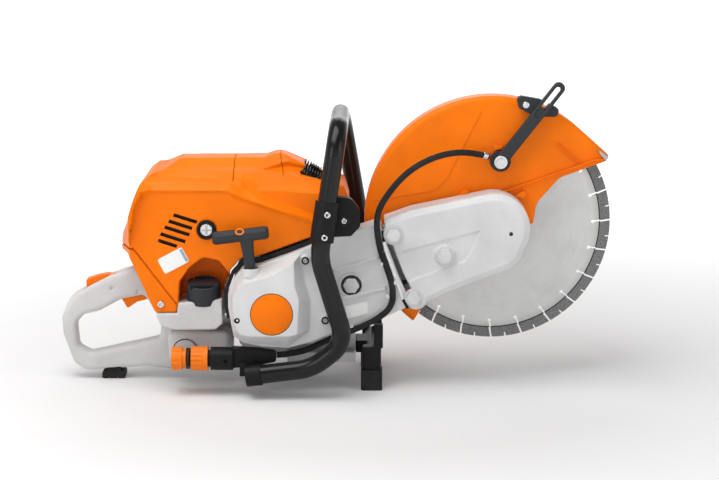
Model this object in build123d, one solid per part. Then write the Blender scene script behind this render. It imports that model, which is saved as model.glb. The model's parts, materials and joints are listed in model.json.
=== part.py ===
from build123d import *
import math
import os

# Rescue saw (petrol cut-off saw). Millimetres.
# Working frame: the wheel's spindle axis is the Y axis, +X points forward, +Z up,
# and the belt side of the saw faces -Y. The parts are moved at the end so that the
# origin is at the bottom centre of the whole saw.

# ---------- driving dimensions ----------
BLADE_R = 175.0
CORE_R = 160.5
CORE_T = 2.6
SEGMENT_T = 3.2
SEGMENTS = 24
SLOT_DEPTH = 10.5
SPINDLE_R = 10.0
FLANGE_R = 50.0
FLOOR_Z = -236.0
FOOT_Y = 72.0
CRANK = (-319.0, -112.0)
STROKE = 38.0
BORE_R = 26.0
ROD_LENGTH = 75.0
DRIVEN_R = 40.0
DRIVING_R = 21.0
BELT_T = 3.0
BELT_FAR = -51.5
BELT_NEAR = -66.5
GUARD_R = 187.0
GUARD_HALF = 24.0
GUARD_T = 2.5
NOSE_R = 31.0
ARM_END_R = 52.0
GUARD_TIP = (169.0, 100.0)
GUARD_RIBS = [
    [(-176, 34), (-85, 50), (-67, 67), (-18, 165)],
    [(-20, 42), (54, 62), (150, 94)],
]
WALL = 3.0
COVER_NEAR = -80.0
ARM_NEAR = -48.0
ARM_FAR = -30.0
SHROUD_HALF = 92.0
SHROUD_SPLIT = 0.6
HANDLE_TUBE_R = 13.5
HOSE_R = 4.5
GRIP_HALF = 17.0
RUN = 0.05
CAP = (-419.0, -74.0, -103.0)
CAP_TILT = 14.0
PULL_TILT = 6.5
ROPE_EXIT = (-349.0, -118.0, -46.0)
COUPLING_Y = -105.0
COUPLING_Z = -183.0
HOUSE_SCREWS = [(-271.0, -37.0), (-243.0, -124.0)]
ARM_NUTS = [(-145.0, -6.0), (-71.0, -36.0), (-116.0, -98.0)]
TENSION = (-206.0, -81.0)
NOZZLE = (10.0, 94.0)

# Front handle tube: bottom end, lower bend, knee, lean, two top corners, far end.
HANDLE_PATH = [
    (-352, -128, -203),
    (-262, -133, -191),
    (-214, -138, -152),
    (-251, -138, -30),
    (-224, -124, 152),
    (-222, 100, 152),
    (-190, 104, -34),
]
HANDLE_RADII = [70, 40, 80, 42, 42]

# Water hoses, from the valve to the arm's edge, and on over the guard to the nozzle.
LOWER_HOSE = [
    (-313, -100, -179),
    (-279, -98, -177),
    (-247, -91, -162),
    (-212, -85, -149),
    (-176, -84.6, -135),
    (-147, -84.6, -113),
    (-145, -84.6, -84),
    (-155.5, -84.6, -51),
    (-166, -84.6, -24),
    (-168.5, -84.6, 0),
]
UPPER_HOSE = [
    (-168.5, -84.6, 0),
    (-170.79, -84.6, 22),
    (-155, -84, 52),
    (-128, -80, 83),
    (-95, -72, 102),
    (-61, -60, 110),
    (-30, -47, 108),
    (-7, -38.5, 101),
]


def outline(*corners):
    """Closed side-view face through corners given as (x, z, corner radius)."""
    face = make_face(Polyline(*[(x, z) for x, z, _ in corners], close=True))
    for radius in sorted({r for _, _, r in corners if r}):
        spots = [Vector(x, z) for x, z, r in corners if r == radius]
        picked = [v for v in face.vertices() if any((Vector(v) - s).length < 0.01 for s in spots)]
        face = fillet(picked, radius)
    return face


def slab(face, far, near):
    """Side-view face made solid from Y=far to Y=near."""
    return extrude(Plane.XZ.offset(-far) * face, amount=far - near)


def disc(x, z, radius, far, near, bore=0.0):
    """Round plate or ring whose axis runs along Y."""
    face = Pos(x, z) * Circle(radius)
    if bore:
        face -= Pos(x, z) * Circle(bore)
    return slab(face, far, near)


def hexagon(x, z, radius, far, near):
    """Six-sided prism along Y."""
    return slab(Pos(x, z) * RegularPolygon(radius, 6), far, near)


def block(x0, x1, y0, y1, z0, z1):
    """Box between two corners."""
    size = (x1 - x0, y1 - y0, z1 - z0)
    return Pos((x0 + x1) / 2, (y0 + y1) / 2, (z0 + z1) / 2) * Box(*size)


def rod(start, end, radius, bore=0.0):
    """Round bar or tube from one point to another."""
    axis = Vector(*end) - Vector(*start)
    face = Circle(radius)
    if bore:
        face -= Circle(bore)
    return extrude(Plane(origin=start, z_dir=axis) * face, amount=axis.length)


def pipe(points, radii, radius):
    """Solid round bar along straight runs joined by tangent arcs."""
    path = FilletPolyline(*points, radius=radii)
    return sweep(Plane(origin=path @ 0, z_dir=path % 0) * Circle(radius), path=path)


def route_radii(points):
    """Arc radii as large as each corner's two runs allow."""
    radii = []
    for before, corner, after in zip(points, points[1:], points[2:]):
        run_in = Vector(*corner) - Vector(*before)
        run_out = Vector(*after) - Vector(*corner)
        turn = math.radians(run_in.get_angle(run_out))
        shorter = min(run_in.length, run_out.length)
        radii.append(0.45 * shorter / math.tan(turn / 2))
    return radii


def hull_of_two(spot_a, radius_a, spot_b, radius_b):
    """Face around two circles and their outer tangents, as a belt runs."""
    across = Vector(spot_b[0] - spot_a[0], spot_b[1] - spot_a[1])
    along = math.atan2(across.Y, across.X)
    lean = math.acos((radius_a - radius_b) / across.length)
    corners = []
    for spot, radius, side in (
        (spot_a, radius_a, 1), (spot_b, radius_b, 1), (spot_b, radius_b, -1), (spot_a, radius_a, -1),
    ):
        angle = along + side * lean
        corners.append((spot[0] + radius * math.cos(angle), spot[1] + radius * math.sin(angle)))
    face = make_face(Polyline(*corners, close=True))
    face += Pos(*spot_a) * Circle(radius_a)
    face += Pos(*spot_b) * Circle(radius_b)
    return face


def tangent_spot(point, radius, side):
    """Where the tangent from a point touches a circle about the spindle."""
    reach = math.hypot(*point)
    angle = math.atan2(point[1], point[0]) + side * math.acos(radius / reach)
    return (radius * math.cos(angle), radius * math.sin(angle))


# ---------- wheel and spindle ----------
def blade_core():
    body = disc(0, 0, CORE_R, CORE_T / 2, -CORE_T / 2, bore=SPINDLE_R + RUN)
    slots = []
    for i in range(SEGMENTS):
        turn = Rot(0, 0, i * 360 / SEGMENTS)
        slots.append(turn * Pos(CORE_R - SLOT_DEPTH / 2, 0) * Rot(0, 0, 9) * Rectangle(SLOT_DEPTH + 4, 2.2))
        slots.append(turn * Pos(CORE_R - SLOT_DEPTH, -1.0) * Circle(2.4))
    cutter = slab(Sketch() + slots, CORE_T, -CORE_T)
    return body - cutter


def blade_segments():
    ring = disc(0, 0, BLADE_R, SEGMENT_T / 2, -SEGMENT_T / 2, bore=CORE_R)
    cuts = []
    for i in range(SEGMENTS):
        turn = Rot(0, 0, i * 360 / SEGMENTS)
        cuts.append(turn * Pos(CORE_R + 8, 0.8) * Rot(0, 0, 9) * Rectangle(24, 2.6))
        half = Rot(0, 0, (i + 0.5) * 360 / SEGMENTS)
        cuts.append(half * Pos(BLADE_R - 1.5, 0) * Rot(0, 0, 9) * Rectangle(8, 2.0))
    return ring - slab(Sketch() + cuts, SEGMENT_T, -SEGMENT_T)


def flange(far, near):
    body = disc(0, 0, FLANGE_R, far, near, bore=SPINDLE_R + RUN)
    outer_face = [e for e in body.edges().filter_by(GeomType.CIRCLE) if e.radius > FLANGE_R - 1]
    return chamfer(outer_face, 1.5)


def spindle():
    body = disc(0, 0, SPINDLE_R, 8.5, -68.5)
    return body - disc(0, 0, 5 + RUN, 8.5, -18)


def spindle_bolt():
    head = hexagon(0, 0, 11, 20, 12)
    washer = disc(0, 0, 17, 12, 9)
    return head + washer + disc(0, 0, 5, 9, -17)


def grooved_pulley(x, z, radius, far, near, bore):
    """Belt pulley with a rim at each side and shallow ribs between them."""
    body = disc(x, z, radius, far, near, bore=bore)
    body += disc(x, z, radius + 3, far, far - 1.4, bore=bore)
    body += disc(x, z, radius + 3, near + 1.4, near, bore=bore)
    return body


def driven_pulley():
    body = grooved_pulley(0, 0, DRIVEN_R, -49.9, -68.1, SPINDLE_R + RUN)
    holes = Sketch() + [Rot(0, 0, 60 * i) * Pos(26, 0) * Circle(7) for i in range(6)]
    return body - slab(holes, -45, -72)


def bearing(x, z, outer, inner, far, near):
    """Ball bearing with a seal groove on each face."""
    body = disc(x, z, outer, far, near, bore=inner)
    middle = (outer + inner) / 2
    for edge in (far + 1, near + 1):
        body -= disc(x, z, middle + 3.5, edge, edge - 2, bore=middle - 3.5)
    return body


def spindle_bearings():
    return Compound([
        bearing(0, 0, 21, SPINDLE_R + RUN, -14, -26),
        bearing(0, 0, 21, SPINDLE_R + RUN, -35, -47),
    ])


# ---------- arm and belt drive ----------
def arm_face(inset=0.0):
    """Side view of the belt arm's front part, round about the spindle."""
    top, bottom = (-120, 28), (-62, -90)
    upper, lower = tangent_spot(top, ARM_END_R, -1), tangent_spot(bottom, ARM_END_R, 1)
    nose = ThreePointArc(upper, (ARM_END_R, 0), lower)
    rest = Polyline(lower, bottom, (-101, -111), (-109, -108), (-132, -62), (-149, -18), (-159, 14), top, upper)
    face = make_face(Curve() + [nose, rest])
    sharp = [v for v in face.vertices() if round(v.X) in (-101, -109, -159)]
    face = fillet(sharp, 3)
    return offset(face, -inset) if inset else face


def belt_room():
    """Space that the belt runs through, with clearance all round it."""
    face = hull_of_two((0, 0), DRIVEN_R + 7, CRANK, DRIVING_R + 7)
    return slab(face, ARM_NEAR - 1, COVER_NEAR + WALL + 2)


def stud_holes(radius, far, near):
    return slab(Sketch() + [Pos(x, z) * Circle(radius) for x, z in ARM_NUTS], far, near)


def bearing_arm():
    body = slab(arm_face(), ARM_FAR, ARM_NEAR)
    tongue = outline((-236, -62, 6), (-226, -24, 6), (-120, 10, 0), (-100, -90, 0), (-214, -122, 6))
    body += slab(tongue, ARM_FAR + 4, ARM_FAR)
    body += disc(0, 0, NOSE_R, -11, ARM_FAR)
    body -= disc(0, 0, 21.02, -11, -26)
    body -= disc(0, 0, 21.02, -35, ARM_NEAR)
    body -= disc(0, 0, 15, -20, -40)
    return body - stud_holes(4.1, -38, ARM_NEAR)


def belt_cover():
    body = slab(arm_face(), ARM_NEAR - 0.2, COVER_NEAR)
    rim = [e for e in body.edges().group_by(Axis.Y)[0] if e.length > 5]
    body = fillet(rim, 3.5)
    panel = outline((-165, -37, 0), (-18, -1.5, 4), (-40, -50, 6), (-150, -82, 0))
    body -= slab(panel, COVER_NEAR + 1.6, COVER_NEAR - 5)
    for x, z in ARM_NUTS:
        body += disc(x, z, 16, COVER_NEAR + 2, COVER_NEAR)
    x, z = ARM_NUTS[1]
    body += disc(x, z, 15, COVER_NEAR + 2, COVER_NEAR - 3)
    body -= slab(arm_face(WALL), ARM_NEAR, COVER_NEAR + WALL) + belt_room()
    body -= disc(24, -6, 3, COVER_NEAR + WALL + 1, COVER_NEAR - 1)
    return body - stud_holes(4.1, ARM_NEAR, COVER_NEAR - 10)


def arm_nuts():
    nuts = []
    for i, (x, z) in enumerate(ARM_NUTS):
        seat = COVER_NEAR - (3 if i == 1 else 0)
        nut = hexagon(x, z, 10.5, seat - 2, seat - 9) + disc(x, z, 13, seat, seat - 2)
        nuts.append(nut + disc(x, z, 4, ARM_NEAR + 8, seat))
    return Compound(nuts)


def housing_face():
    face = outline(
        (-350, -60, 10), (-262, -21, 0), (-171, 9, 4), (-163, 7, 3), (-154, -22, 0),
        (-138, -66, 0), (-118, -110, 5), (-160, -130, 20), (-262, -168, 20), (-330, -162, 20),
    )
    return face + Pos(*CRANK) * Circle(50)


def drive_housing():
    near = COVER_NEAR + 2
    body = slab(housing_face(), -32, near)
    body -= slab(offset(housing_face(), -WALL), -35, near + WALL)
    body -= disc(*CRANK, 46, -40, near - 5)
    body -= disc(*CRANK, 10.5, -20, -60)
    body -= belt_room()
    panel = outline((-262, -66, 4), (-166, -38, 6), (-153, -80, 6), (-262, -113, 4))
    body -= slab(panel, near + 1.4, near - 5)
    x, z = TENSION
    body += disc(x, z, 17, -70, near - 1.5)
    body -= disc(x, z, 14.5, -60, near - 2)
    return body + disc(x, z, 17, -68, -71, bore=6 + RUN)


def tension_nut():
    x, z = TENSION
    return hexagon(x, z, 12, -71.2, -81.5) + disc(x, z, 6, -60, -71.2)


def drive_belt():
    outer = hull_of_two((0, 0), DRIVEN_R + 0.1 + BELT_T, CRANK, DRIVING_R + 0.1 + BELT_T)
    inner = hull_of_two((0, 0), DRIVEN_R + 0.1, CRANK, DRIVING_R + 0.1)
    return slab(outer - inner, BELT_FAR, BELT_NEAR)


def clutch_drum():
    body = grooved_pulley(*CRANK, DRIVING_R, -49.9, -68.1, 8.5 + RUN)
    body += disc(*CRANK, 38, -68.1, -71, bore=8.5 + RUN)
    return body + disc(*CRANK, 38, -71, -88, bore=35)


def clutch_hub():
    hub = disc(*CRANK, 12, -72, -88, bore=8.5)
    shoes = []
    sector = Circle(34) - Circle(14)
    for i in range(3):
        gap = Rot(0, 0, 120 * i) * Pos(25, 0) * Rectangle(30, 4)
        sector -= gap
    for shoe in slab(Pos(*CRANK) * sector, -73, -87).solids():
        shoes.append(shoe)
    for i in range(3):
        angle = math.radians(60 + 120 * i)
        link = Pos(CRANK[0] + 13 * math.cos(angle), CRANK[1] + 13 * math.sin(angle)) * Rectangle(5, 5)
        hub += slab(link, -74, -86)
    return hub + shoes


# ---------- engine ----------
def crankshaft():
    x, z = CRANK
    near = disc(x, z, 34, -6.2, -13) + disc(x, z, 8.5, -13, -92)
    far = disc(x, z, 34, 13, 6.2) + disc(x, z, 8.5, 90, 13)
    return Compound([near, far])


def crank_bearings():
    return Compound([
        bearing(*CRANK, 20, 8.5 + RUN, -16, -28),
        bearing(*CRANK, 20, 8.5 + RUN, 28, 16),
    ])


def crankcase():
    x, z = CRANK
    side = outline(
        (x - 50, z + 52, 4), (x + 50, z + 52, 4), (x + 55, z + 8, 0), (-214, -140, 12),
        (-200, -170, 6), (-200, -200, 8), (-352, -200, 10), (-372, -176, 12), (x - 50, z, 0),
    )
    body = slab(side, 31, -31)
    body += block(-300, -200, -56, 56, -200, -186)
    body -= disc(x, z, 36, 14, -14)
    body -= slab(Pos(x, z + 38) * Rectangle(2 * BORE_R, 60), 14, -14)
    body -= disc(x, z, 20.02, 40, -40)
    body += disc(x, z, 24, 15.8, 14, bore=12) + disc(x, z, 24, -14, -15.8, bore=12)
    body -= Pos(x, 0, z + 50) * Cylinder(BORE_R + 4.1, 20)
    strut = outline((-268, -66, 0), (-268, -104, 0), (-196, -84, 6), (-178, -60, 8), (-182, -46, 4))
    return body + slab(strut, 43.8, 26) + block(-206, -181, 30, 61, -78, -50)


def cylinder():
    x, z = CRANK
    base = z + 52
    top = z + ROD_LENGTH + STROKE / 2 + 18 + 10
    body = Pos(x, 0, (base + top) / 2) * Cylinder(BORE_R + 5, top - base)
    body += block(x - 36, x + 36, -31, 31, base, base + 6)
    body += Pos(x, 0, base - 5) * Cylinder(BORE_R + 4, 10)
    for i in range(9):
        level = base + 13 + 7 * i
        body += block(x - 46, x + 46, -31, 44, level, level + 2)
    body += Pos(x, 0, top + 5) * Cylinder(11, 12)
    body -= Pos(x, 0, (base - 20 + top - 9) / 2) * Cylinder(BORE_R + RUN, top - 9 - base + 20)
    body -= Pos(x, 0, top) * Cylinder(7 + RUN, 60)
    return body


def piston():
    x, z = CRANK
    pin = z + ROD_LENGTH + STROKE / 2
    body = Pos(x, 0, pin + 1) * Cylinder(BORE_R, 32)
    body -= Pos(x, 0, pin - 4) * Cylinder(BORE_R - 3.5, 34)
    for level in (pin + 9.5, pin + 13):
        body -= Pos(x, 0, level) * (Cylinder(BORE_R + 1, 1.2) - Cylinder(BORE_R - 2, 1.2))
    for side in (-1, 1):
        body += disc(x, pin, 9, side * 16 + 6, side * 16 - 6)
    body &= Pos(x, 0, pin) * Cylinder(BORE_R, 60)
    return body - disc(x, pin, 6 + RUN, 40, -40)


def engine_pins():
    x, z = CRANK
    wrist = disc(x, z + ROD_LENGTH + STROKE / 2, 6, 21, -21, bore=3)
    crank_pin = disc(x, z + STROKE / 2, 8, 6.1, -6.1)
    return Compound([wrist, crank_pin])


def connecting_rod():
    x, z = CRANK
    big = z + STROKE / 2
    small = big + ROD_LENGTH
    face = Pos(x, big) * Circle(13) + Pos(x, small) * Circle(9.5)
    face += Pos(x, (big + small) / 2) * Rectangle(10, small - big - 10)
    body = slab(face, 5.5, -5.5)
    body -= disc(x, big, 8 + RUN, 20, -20) + disc(x, small, 6 + RUN, 20, -20)
    web = Pos(x, (big + small) / 2 + 1) * Rectangle(5, small - big - 30)
    return body - slab(web, 20, 3) - slab(web, -3, -20)


def spark_plug():
    x, z = CRANK
    top = z + ROD_LENGTH + STROKE / 2 + 28
    body = Pos(x, 0, top + 2) * Cylinder(7, 18)
    body += Pos(x, 0, top + 14) * Cylinder(10, 6)
    body += Pos(x, 0, top + 26) * Cylinder(5.5, 20)
    return body + Pos(x, 0, top + 39) * Cylinder(3, 6)


def decompression_valve():
    """Push button on the sloping front of the shroud, over its stem."""
    place = Plane(origin=(-265, 0, 69), z_dir=(0.5, 0, 1))
    return place * (Pos(0, 0, 6) * Cylinder(5, 14) + Pos(0, 0, 13) * Cylinder(7.5, 3))


def muffler():
    body = fillet(block(-266, -219, -24, 43, -44, 16).edges(), 7)
    body += block(-273, -266, -18, 18, -40, -10)
    return body + rod((-240, 20, -16), (-212, 32, -22), 9)


def throttle_body():
    body = block(-404, -372, -22, 22, -40, 0)
    body = fillet(body.edges().filter_by(Axis.X), 8)
    body += Pos(-368.5, 0, -20) * Rot(0, 90, 0) * Cylinder(17, 7)
    body -= Pos(-390, 0, -20) * Rot(0, 90, 0) * Cylinder(13, 80)
    return body - disc(-390, -20, 3 + RUN, 40, -40)


def throttle_plate():
    shaft = disc(-390, -20, 3, 26, -26)
    plate = Pos(-390, 0, -20) * Rot(0, 90, 0) * Cylinder(12.6, 1.6)
    lever = slab(outline((-398, -24, 2), (-386, -24, 2), (-386, -2, 2), (-394, -2, 2)), 28, 26)
    return shaft + plate + lever


def air_filter():
    body = block(-496, -408, -56, 56, -34, 52)
    body = fillet(body.edges().filter_by(Axis.Y), 10)
    pleats = [block(-492 + 8 * i, -488 + 8 * i, -60, 60, 40, 60) for i in range(10)]
    body -= pleats
    return body + Pos(-406, 0, -20) * Rot(0, 90, 0) * Cylinder(15, 4)


def flywheel():
    x, z = CRANK
    body = disc(x, z, 46, 66, 58, bore=8.5)
    body += disc(x, z, 16, 84, 50, bore=8.5)
    for i in range(14):
        spoke = Pos(x, z) * Rot(0, 0, i * 360 / 14) * Pos(31, 4) * Rot(0, 0, 24) * Rectangle(24, 2)
        body += slab(spoke, 80, 66)
    body += disc(x, z, 12, 90, 84, bore=8.5)
    return body


def ignition_module():
    return fillet(block(-340, -298, 58, 76, -64, -48).edges().filter_by(Axis.Y), 3)


# ---------- starter ----------
STARTER_BASE = [
    (-257, -15), (-295, -30), (-338, -45), (-359, -47), (-372, -62), (-382, -87), (-382, -107),
    (-375, -148), (-362, -158), (-332, -164), (-296, -166), (-262, -157), (-235, -146),
    (-231, -130), (-246, -76), (-255, -50),
]
STARTER_RIM = [
    (-277, -28), (-317, -41), (-341, -48), (-359, -51), (-371, -66), (-380, -90), (-380, -110),
    (-374, -146), (-363, -155), (-350, -159), (-296, -164), (-266, -140), (-264, -96), (-273, -66),
]
STARTER_NEAR = [
    (-287, -36), (-323, -57), (-341, -63), (-359, -68), (-367, -74), (-374, -89), (-374, -105),
    (-370, -133), (-364, -141), (-352, -144), (-296, -144), (-283, -142), (-280, -91), (-286, -72),
]


def starter_face(points):
    return make_face(Polyline(*points, close=True))


def starter_cover():
    base = starter_face(STARTER_BASE)
    near = starter_face(STARTER_NEAR)
    rim = starter_face(STARTER_RIM)
    body = slab(base, -81, -112)
    body += loft([Plane.XZ.offset(112) * rim, Plane.XZ.offset(134) * near], ruled=True)
    inner = slab(offset(base, -WALL), -70, -109)
    inner_rim = offset(rim, -WALL, kind=Kind.INTERSECTION)
    inner_near = offset(near, -WALL, kind=Kind.INTERSECTION)
    inner += loft([Plane.XZ.offset(109) * inner_rim, Plane.XZ.offset(131) * inner_near], ruled=True)
    body -= inner
    body += disc(*CRANK, 5, -94, -131)
    x, y, z = ROPE_EXIT
    body += rod((x, y, z - 14), (x, y, z - 1), 12.5) & slab(base, -81, -134)
    body -= rod((x, y, z - 8), (x, y, z + 20), 10.5)
    body -= rod((x + 8, y, z - 60), (x, y, z), 3.6)
    for sx, sz in HOUSE_SCREWS:
        body += disc(sx, sz, 7, -81, -116) & slab(base, -81, -134)
        body -= disc(sx, sz, 7.5, -116, -140)
        body -= disc(sx, sz, 2.7, -70, -120)
    body -= disc(-368, -121, 3.2, -120, -140)
    return body - disc(-319, -112, 31, -133.4, -140)


def cover_seal():
    """Rubber strip along the cover's upper and rear edges, against the shroud."""
    strip = [
        (-259, -12), (-296, -26), (-339, -41), (-361, -43), (-376, -60), (-386, -87),
        (-386, -108), (-382, -126),
    ]
    line = Polyline(*strip)
    return slab(trace(line, 5.0) - offset(starter_face(STARTER_BASE), 0.3), -81, -96)


def rope_rotor():
    body = disc(*CRANK, 26, -101, -111, bore=5 + RUN)
    body += disc(*CRANK, 33, -99, -101, bore=5 + RUN)
    return body + disc(*CRANK, 33, -111, -113, bore=5 + RUN)


def recoil_spring():
    """Flat spiral spring of half turns, each a little wider than the last."""
    step = 2.2
    face = Sketch()
    for i in range(12):
        radius = 9 + step * i / 2
        upper = i % 2 == 0
        half = Pos(0, radius if upper else -radius) * Rectangle(4 * radius, 2 * radius)
        ring = (Circle(radius + 0.8) - Circle(radius)) & half
        face += Pos(CRANK[0] + (0 if upper else step / 2), CRANK[1]) * ring
    return slab(face, -116, -123)


def grip_axis():
    lean = math.radians(PULL_TILT)
    return Vector(-math.sin(lean), 0, math.cos(lean))


def starter_grip():
    bar = Pos(-8, 0, 3) * fillet(Box(80, 22, 18).edges(), 7)
    stem = loft([Plane.XY.offset(-50) * RectangleRounded(15, 15, 4), Plane.XY * RectangleRounded(20, 18, 4)])
    body = bar + stem
    body -= Pos(0, 0, 12) * (Cylinder(8, 1.6) - Cylinder(5, 1.6))
    body -= Pos(0, 0, -45) * Cylinder(2.4, 20)
    x, y, z = ROPE_EXIT
    return Pos(x, y, z - 6) * Rot(0, -PULL_TILT, 0) * Pos(0, 0, 50) * body


def starter_rope():
    x, y, z = ROPE_EXIT
    start = Vector(x, y, z - 6) + grip_axis() * 0.5
    end = Vector(x, y, z - 6) + grip_axis() * 8
    return rod(tuple(start), tuple(end), 2.2) + pipe(
        [tuple(start), (x + 1.5, y, z - 20), (CRANK[0] - 28.5, -106, CRANK[1] + 10)], [20], 2.2
    )


# ---------- shroud, tank and rear handle ----------
def shroud_side():
    return outline(
        (-526, -34, 0), (-541, -34, 4), (-537, -7, 20), (-527, 14, 20), (-517, 46, 20),
        (-508, 68, 10), (-494, 80, 8), (-477, 84, 6), (-454, 97, 10), (-350, 98, 6),
        (-330, 98, 6), (-314, 104, 4), (-302, 102, 6), (-274, 89, 0), (-216, 60, 8),
        (-209, 38, 6), (-213, 12, 4), (-257, -6, 0), (-300, -22, 0), (-341, -37, 0),
        (-364, -39, 0), (-380, -58, 0), (-390, -87, 0), (-390, -118, 0), (-489, -118, 2),
    )


def shroud_section():
    points = [(-92, -160), (-92, 60), (-79, 71), (-49, 85), (-22, 97), (-14, 130)]
    ring = points + [(-y, z) for y, z in reversed(points)]
    return make_face(Polyline(*ring, close=True))


def shroud_plan():
    near = [(-524, -92), (-262, -92), (-209, -44)]
    rear = [(-543, 34), (-543, -34)]
    ring = near + [(x, -y) for x, y in reversed(near)] + rear
    return make_face(Polyline(*ring, close=True))


def shroud_form(inset=0.0):
    """Outer form of the shroud, or the hollow inside its wall."""
    side, section, plan = shroud_side(), shroud_section(), shroud_plan()
    if inset:
        side = offset(side, -inset)
        side += outline(
            (-560, -40, 0), (-520, -36, 0), (-480, -40, 0), (-386, -30, 0), (-300, -16, 0),
            (-216, 20, 0), (-216, -150, 0), (-560, -150, 0),
        )
        section = offset(section, -inset)
        plan = offset(plan, -inset)
    body = slab(side, 100, -100)
    body &= extrude(Plane.YZ.offset(-600) * section, amount=450)
    body &= extrude(Plane.XY.offset(-170) * plan, amount=300)
    for side_sign in (-1, 1):
        normal = Vector(3100, 8255 * side_sign, 7874).normalized()
        spot = Vector(-384, SHROUD_HALF * side_sign, 60) - normal * inset
        body -= Plane(origin=spot, z_dir=normal) * Pos(0, 0, 100) * Box(500, 500, 200)
    return body


def cap_pocket():
    return outline(
        (-456, -130, 0), (-453, -74, 6), (-438, -52, 6), (-419, -38, 5), (-396, -42, 6),
        (-382, -60, 0), (-382, -130, 0),
    )


def shroud():
    body = shroud_form()
    hollow = shroud_form(WALL)
    shell = body - hollow
    shell += slab(offset(cap_pocket(), WALL), -36, -91) & body
    shell -= slab(cap_pocket(), -39, -100)
    for i in range(5):
        place = Pos(-443 - 5.6 * i, 19 - 9 * i) * Rot(0, 0, -18)
        shell -= slab(place * SlotOverall(34 - 2 * (i == 4) * 3, 4.7), -80, -100)
    shell -= disc(-413, 3, 14, -90, -100)
    shell -= disc(-413, 3, 4, -80, -100)
    opening = Plane(origin=(-260, 0, 82), z_dir=(0.49, 0, 0.87))
    shell -= opening * Box(30, 44, 24)
    return shell - slab(offset(tank_side(), 0.6), 63, -100)


def split_face():
    """Area below and behind the seam between the two shroud pieces."""
    return outline((-600, -26, 0), (-518, -26, 0), (-454, -112, 0), (-454, -200, 0), (-600, -200, 0))


def shroud_cover():
    return shroud() - slab(offset(split_face(), SHROUD_SPLIT), 120, -120)


def rear_shroud():
    body = shroud() & slab(split_face(), 120, -120)
    return body - disc(-480, -106, 2.7, -80, -100)


def screw_at(x, z, seat, depth, head_r=5.0, head_h=3.2, shank_r=2.5):
    """Pan-head screw whose head stands out towards -Y."""
    body = disc(x, z, head_r, seat, seat - head_h) + disc(x, z, shank_r, seat + depth, seat)
    top = [e for e in body.edges().filter_by(GeomType.CIRCLE) if e.radius > head_r - 0.1]
    body = fillet([min(top, key=lambda e: e.center().Y)], 1.2)
    return body - hexagon(x, z, 2.4, seat - head_h + 1.8, seat - head_h - 1)


def cover_screws():
    screws = [screw_at(x, z, -116, 20) for x, z in HOUSE_SCREWS]
    screws.append(screw_at(-480, -106, -92, 10))
    screws.append(screw_at(-413, 3, -90, 10, head_r=9, head_h=5, shank_r=3.6))
    return Compound(screws)


def tank_side():
    return outline(
        (-489, -119, 4), (-457, -119, 0), (-455, -104, 0), (-392, -98, 0), (-391, -134, 6),
        (-402, -143, 6), (-458, -144, 8), (-480, -138, 6),
    )


def fuel_tank():
    body = slab(tank_side(), 62, -96)
    near = [e for e in body.edges().group_by(Axis.Y)[0] if e.length > 8]
    body = fillet(near, 3) - block(-495, -465.5, -18, 18, -150, -80)
    seat = Plane(origin=CAP, z_dir=cap_axis())
    body -= seat * Pos(0, 0, 20) * Cylinder(25, 41)
    return body + seat * Pos(0, 0, -10) * Cylinder(17, 24)


def cap_axis():
    lean = math.radians(CAP_TILT)
    return Vector(0, -math.sin(lean), math.cos(lean))


def fuel_cap():
    body = Pos(0, 0, 14) * Cylinder(24.3, 28)
    body = fillet(body.edges().group_by(Axis.Z)[-1], 2)
    for side in (-1, 1):
        hollow = Pos(side * 20, 0, 24) * Box(20, 36, 14) & Pos(0, 0, 24) * Cylinder(21.8, 14)
        body -= hollow + Pos(side * 17, 20, 27) * Box(5, 12, 6)
    body -= Pos(0, 0, 1) * Cylinder(17.4, 16)
    return Plane(origin=CAP, z_dir=cap_axis()) * body


def grip_slot(corners, half):
    return slab(outline(*corners), half, -half)


def rear_handle():
    outer = outline(
        (-528, -68, 14), (-562, -79, 30), (-598, -98, 30), (-622, -112, 22),
        (-635, -142, 24), (-634, -168, 30), (-618, -214, 22), (-600, -224, 16), (-540, -220, 30),
        (-508, -218, 30), (-470, -222, 16), (-400, -206, 14), (-382, -196, 12), (-380, -150, 14),
        (-466, -150, 6), (-466, -74, 16),
    )
    inner = outline(
        (-614, -152, 12), (-602, -139, 12), (-578, -133, 20), (-547, -116, 14), (-512, -109, 8),
        (-488, -150, 9), (-490, -174, 9), (-594, -197, 10), (-611, -187, 8),
    )
    body = slab(outer - inner, GRIP_HALF, -GRIP_HALF)
    rims = [e for e in body.edges() if abs(abs(e.center().Y) - GRIP_HALF) < 0.01]
    body = fillet(rims, 8)
    base = block(-474, -384, -58, 58, -200, -154)
    base = fillet(base.edges(), 8)
    body += base
    body += disc(-449, -183, 18, -58, -61)
    body -= grip_slot([(-604, -120, 0), (-604, -80, 0), (-552, -60, 0), (-552, -104, 0)], 9)
    body -= grip_slot([(-552, -96, 0), (-504, -96, 0), (-504, -140, 0), (-552, -140, 0)], 7)
    for x, z in ((-559, -98), (-520, -104)):
        body -= disc(x, z, 2.5, 20, -20)
    body -= block(-545, -530, 5.6, 20, -92, -80)
    for side in (-1, 1):
        body -= block(-571, -549, side * 9 - 4, side * 9 + 4, -226, -217)
    return body


def handle_pins():
    return Compound([disc(-559, -98, 2.5, 16, -16), disc(-520, -104, 2.5, 16, -16)])


def lockout():
    face = outline(
        (-598, -87, 2), (-598, -104, 2), (-583, -99, 0), (-563, -101, 2), (-554, -100, 3),
        (-554, -82, 3), (-566, -78.5, 3), (-583, -82, 3),
    )
    return slab(face, 8.6, -8.6) - disc(-559, -98, 2.5 + RUN, 20, -20)


def trigger():
    face = outline(
        (-548, -113, 2), (-538, -131, 3), (-524, -121, 5), (-509, -117, 2), (-509, -99, 3),
        (-548, -104, 2),
    )
    return slab(face, 6.6, -6.6) - disc(-520, -104, 2.5 + RUN, 20, -20)


def stop_button():
    return block(-543.4, -531.6, 9, 19.5, -90.4, -81.6)


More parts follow.
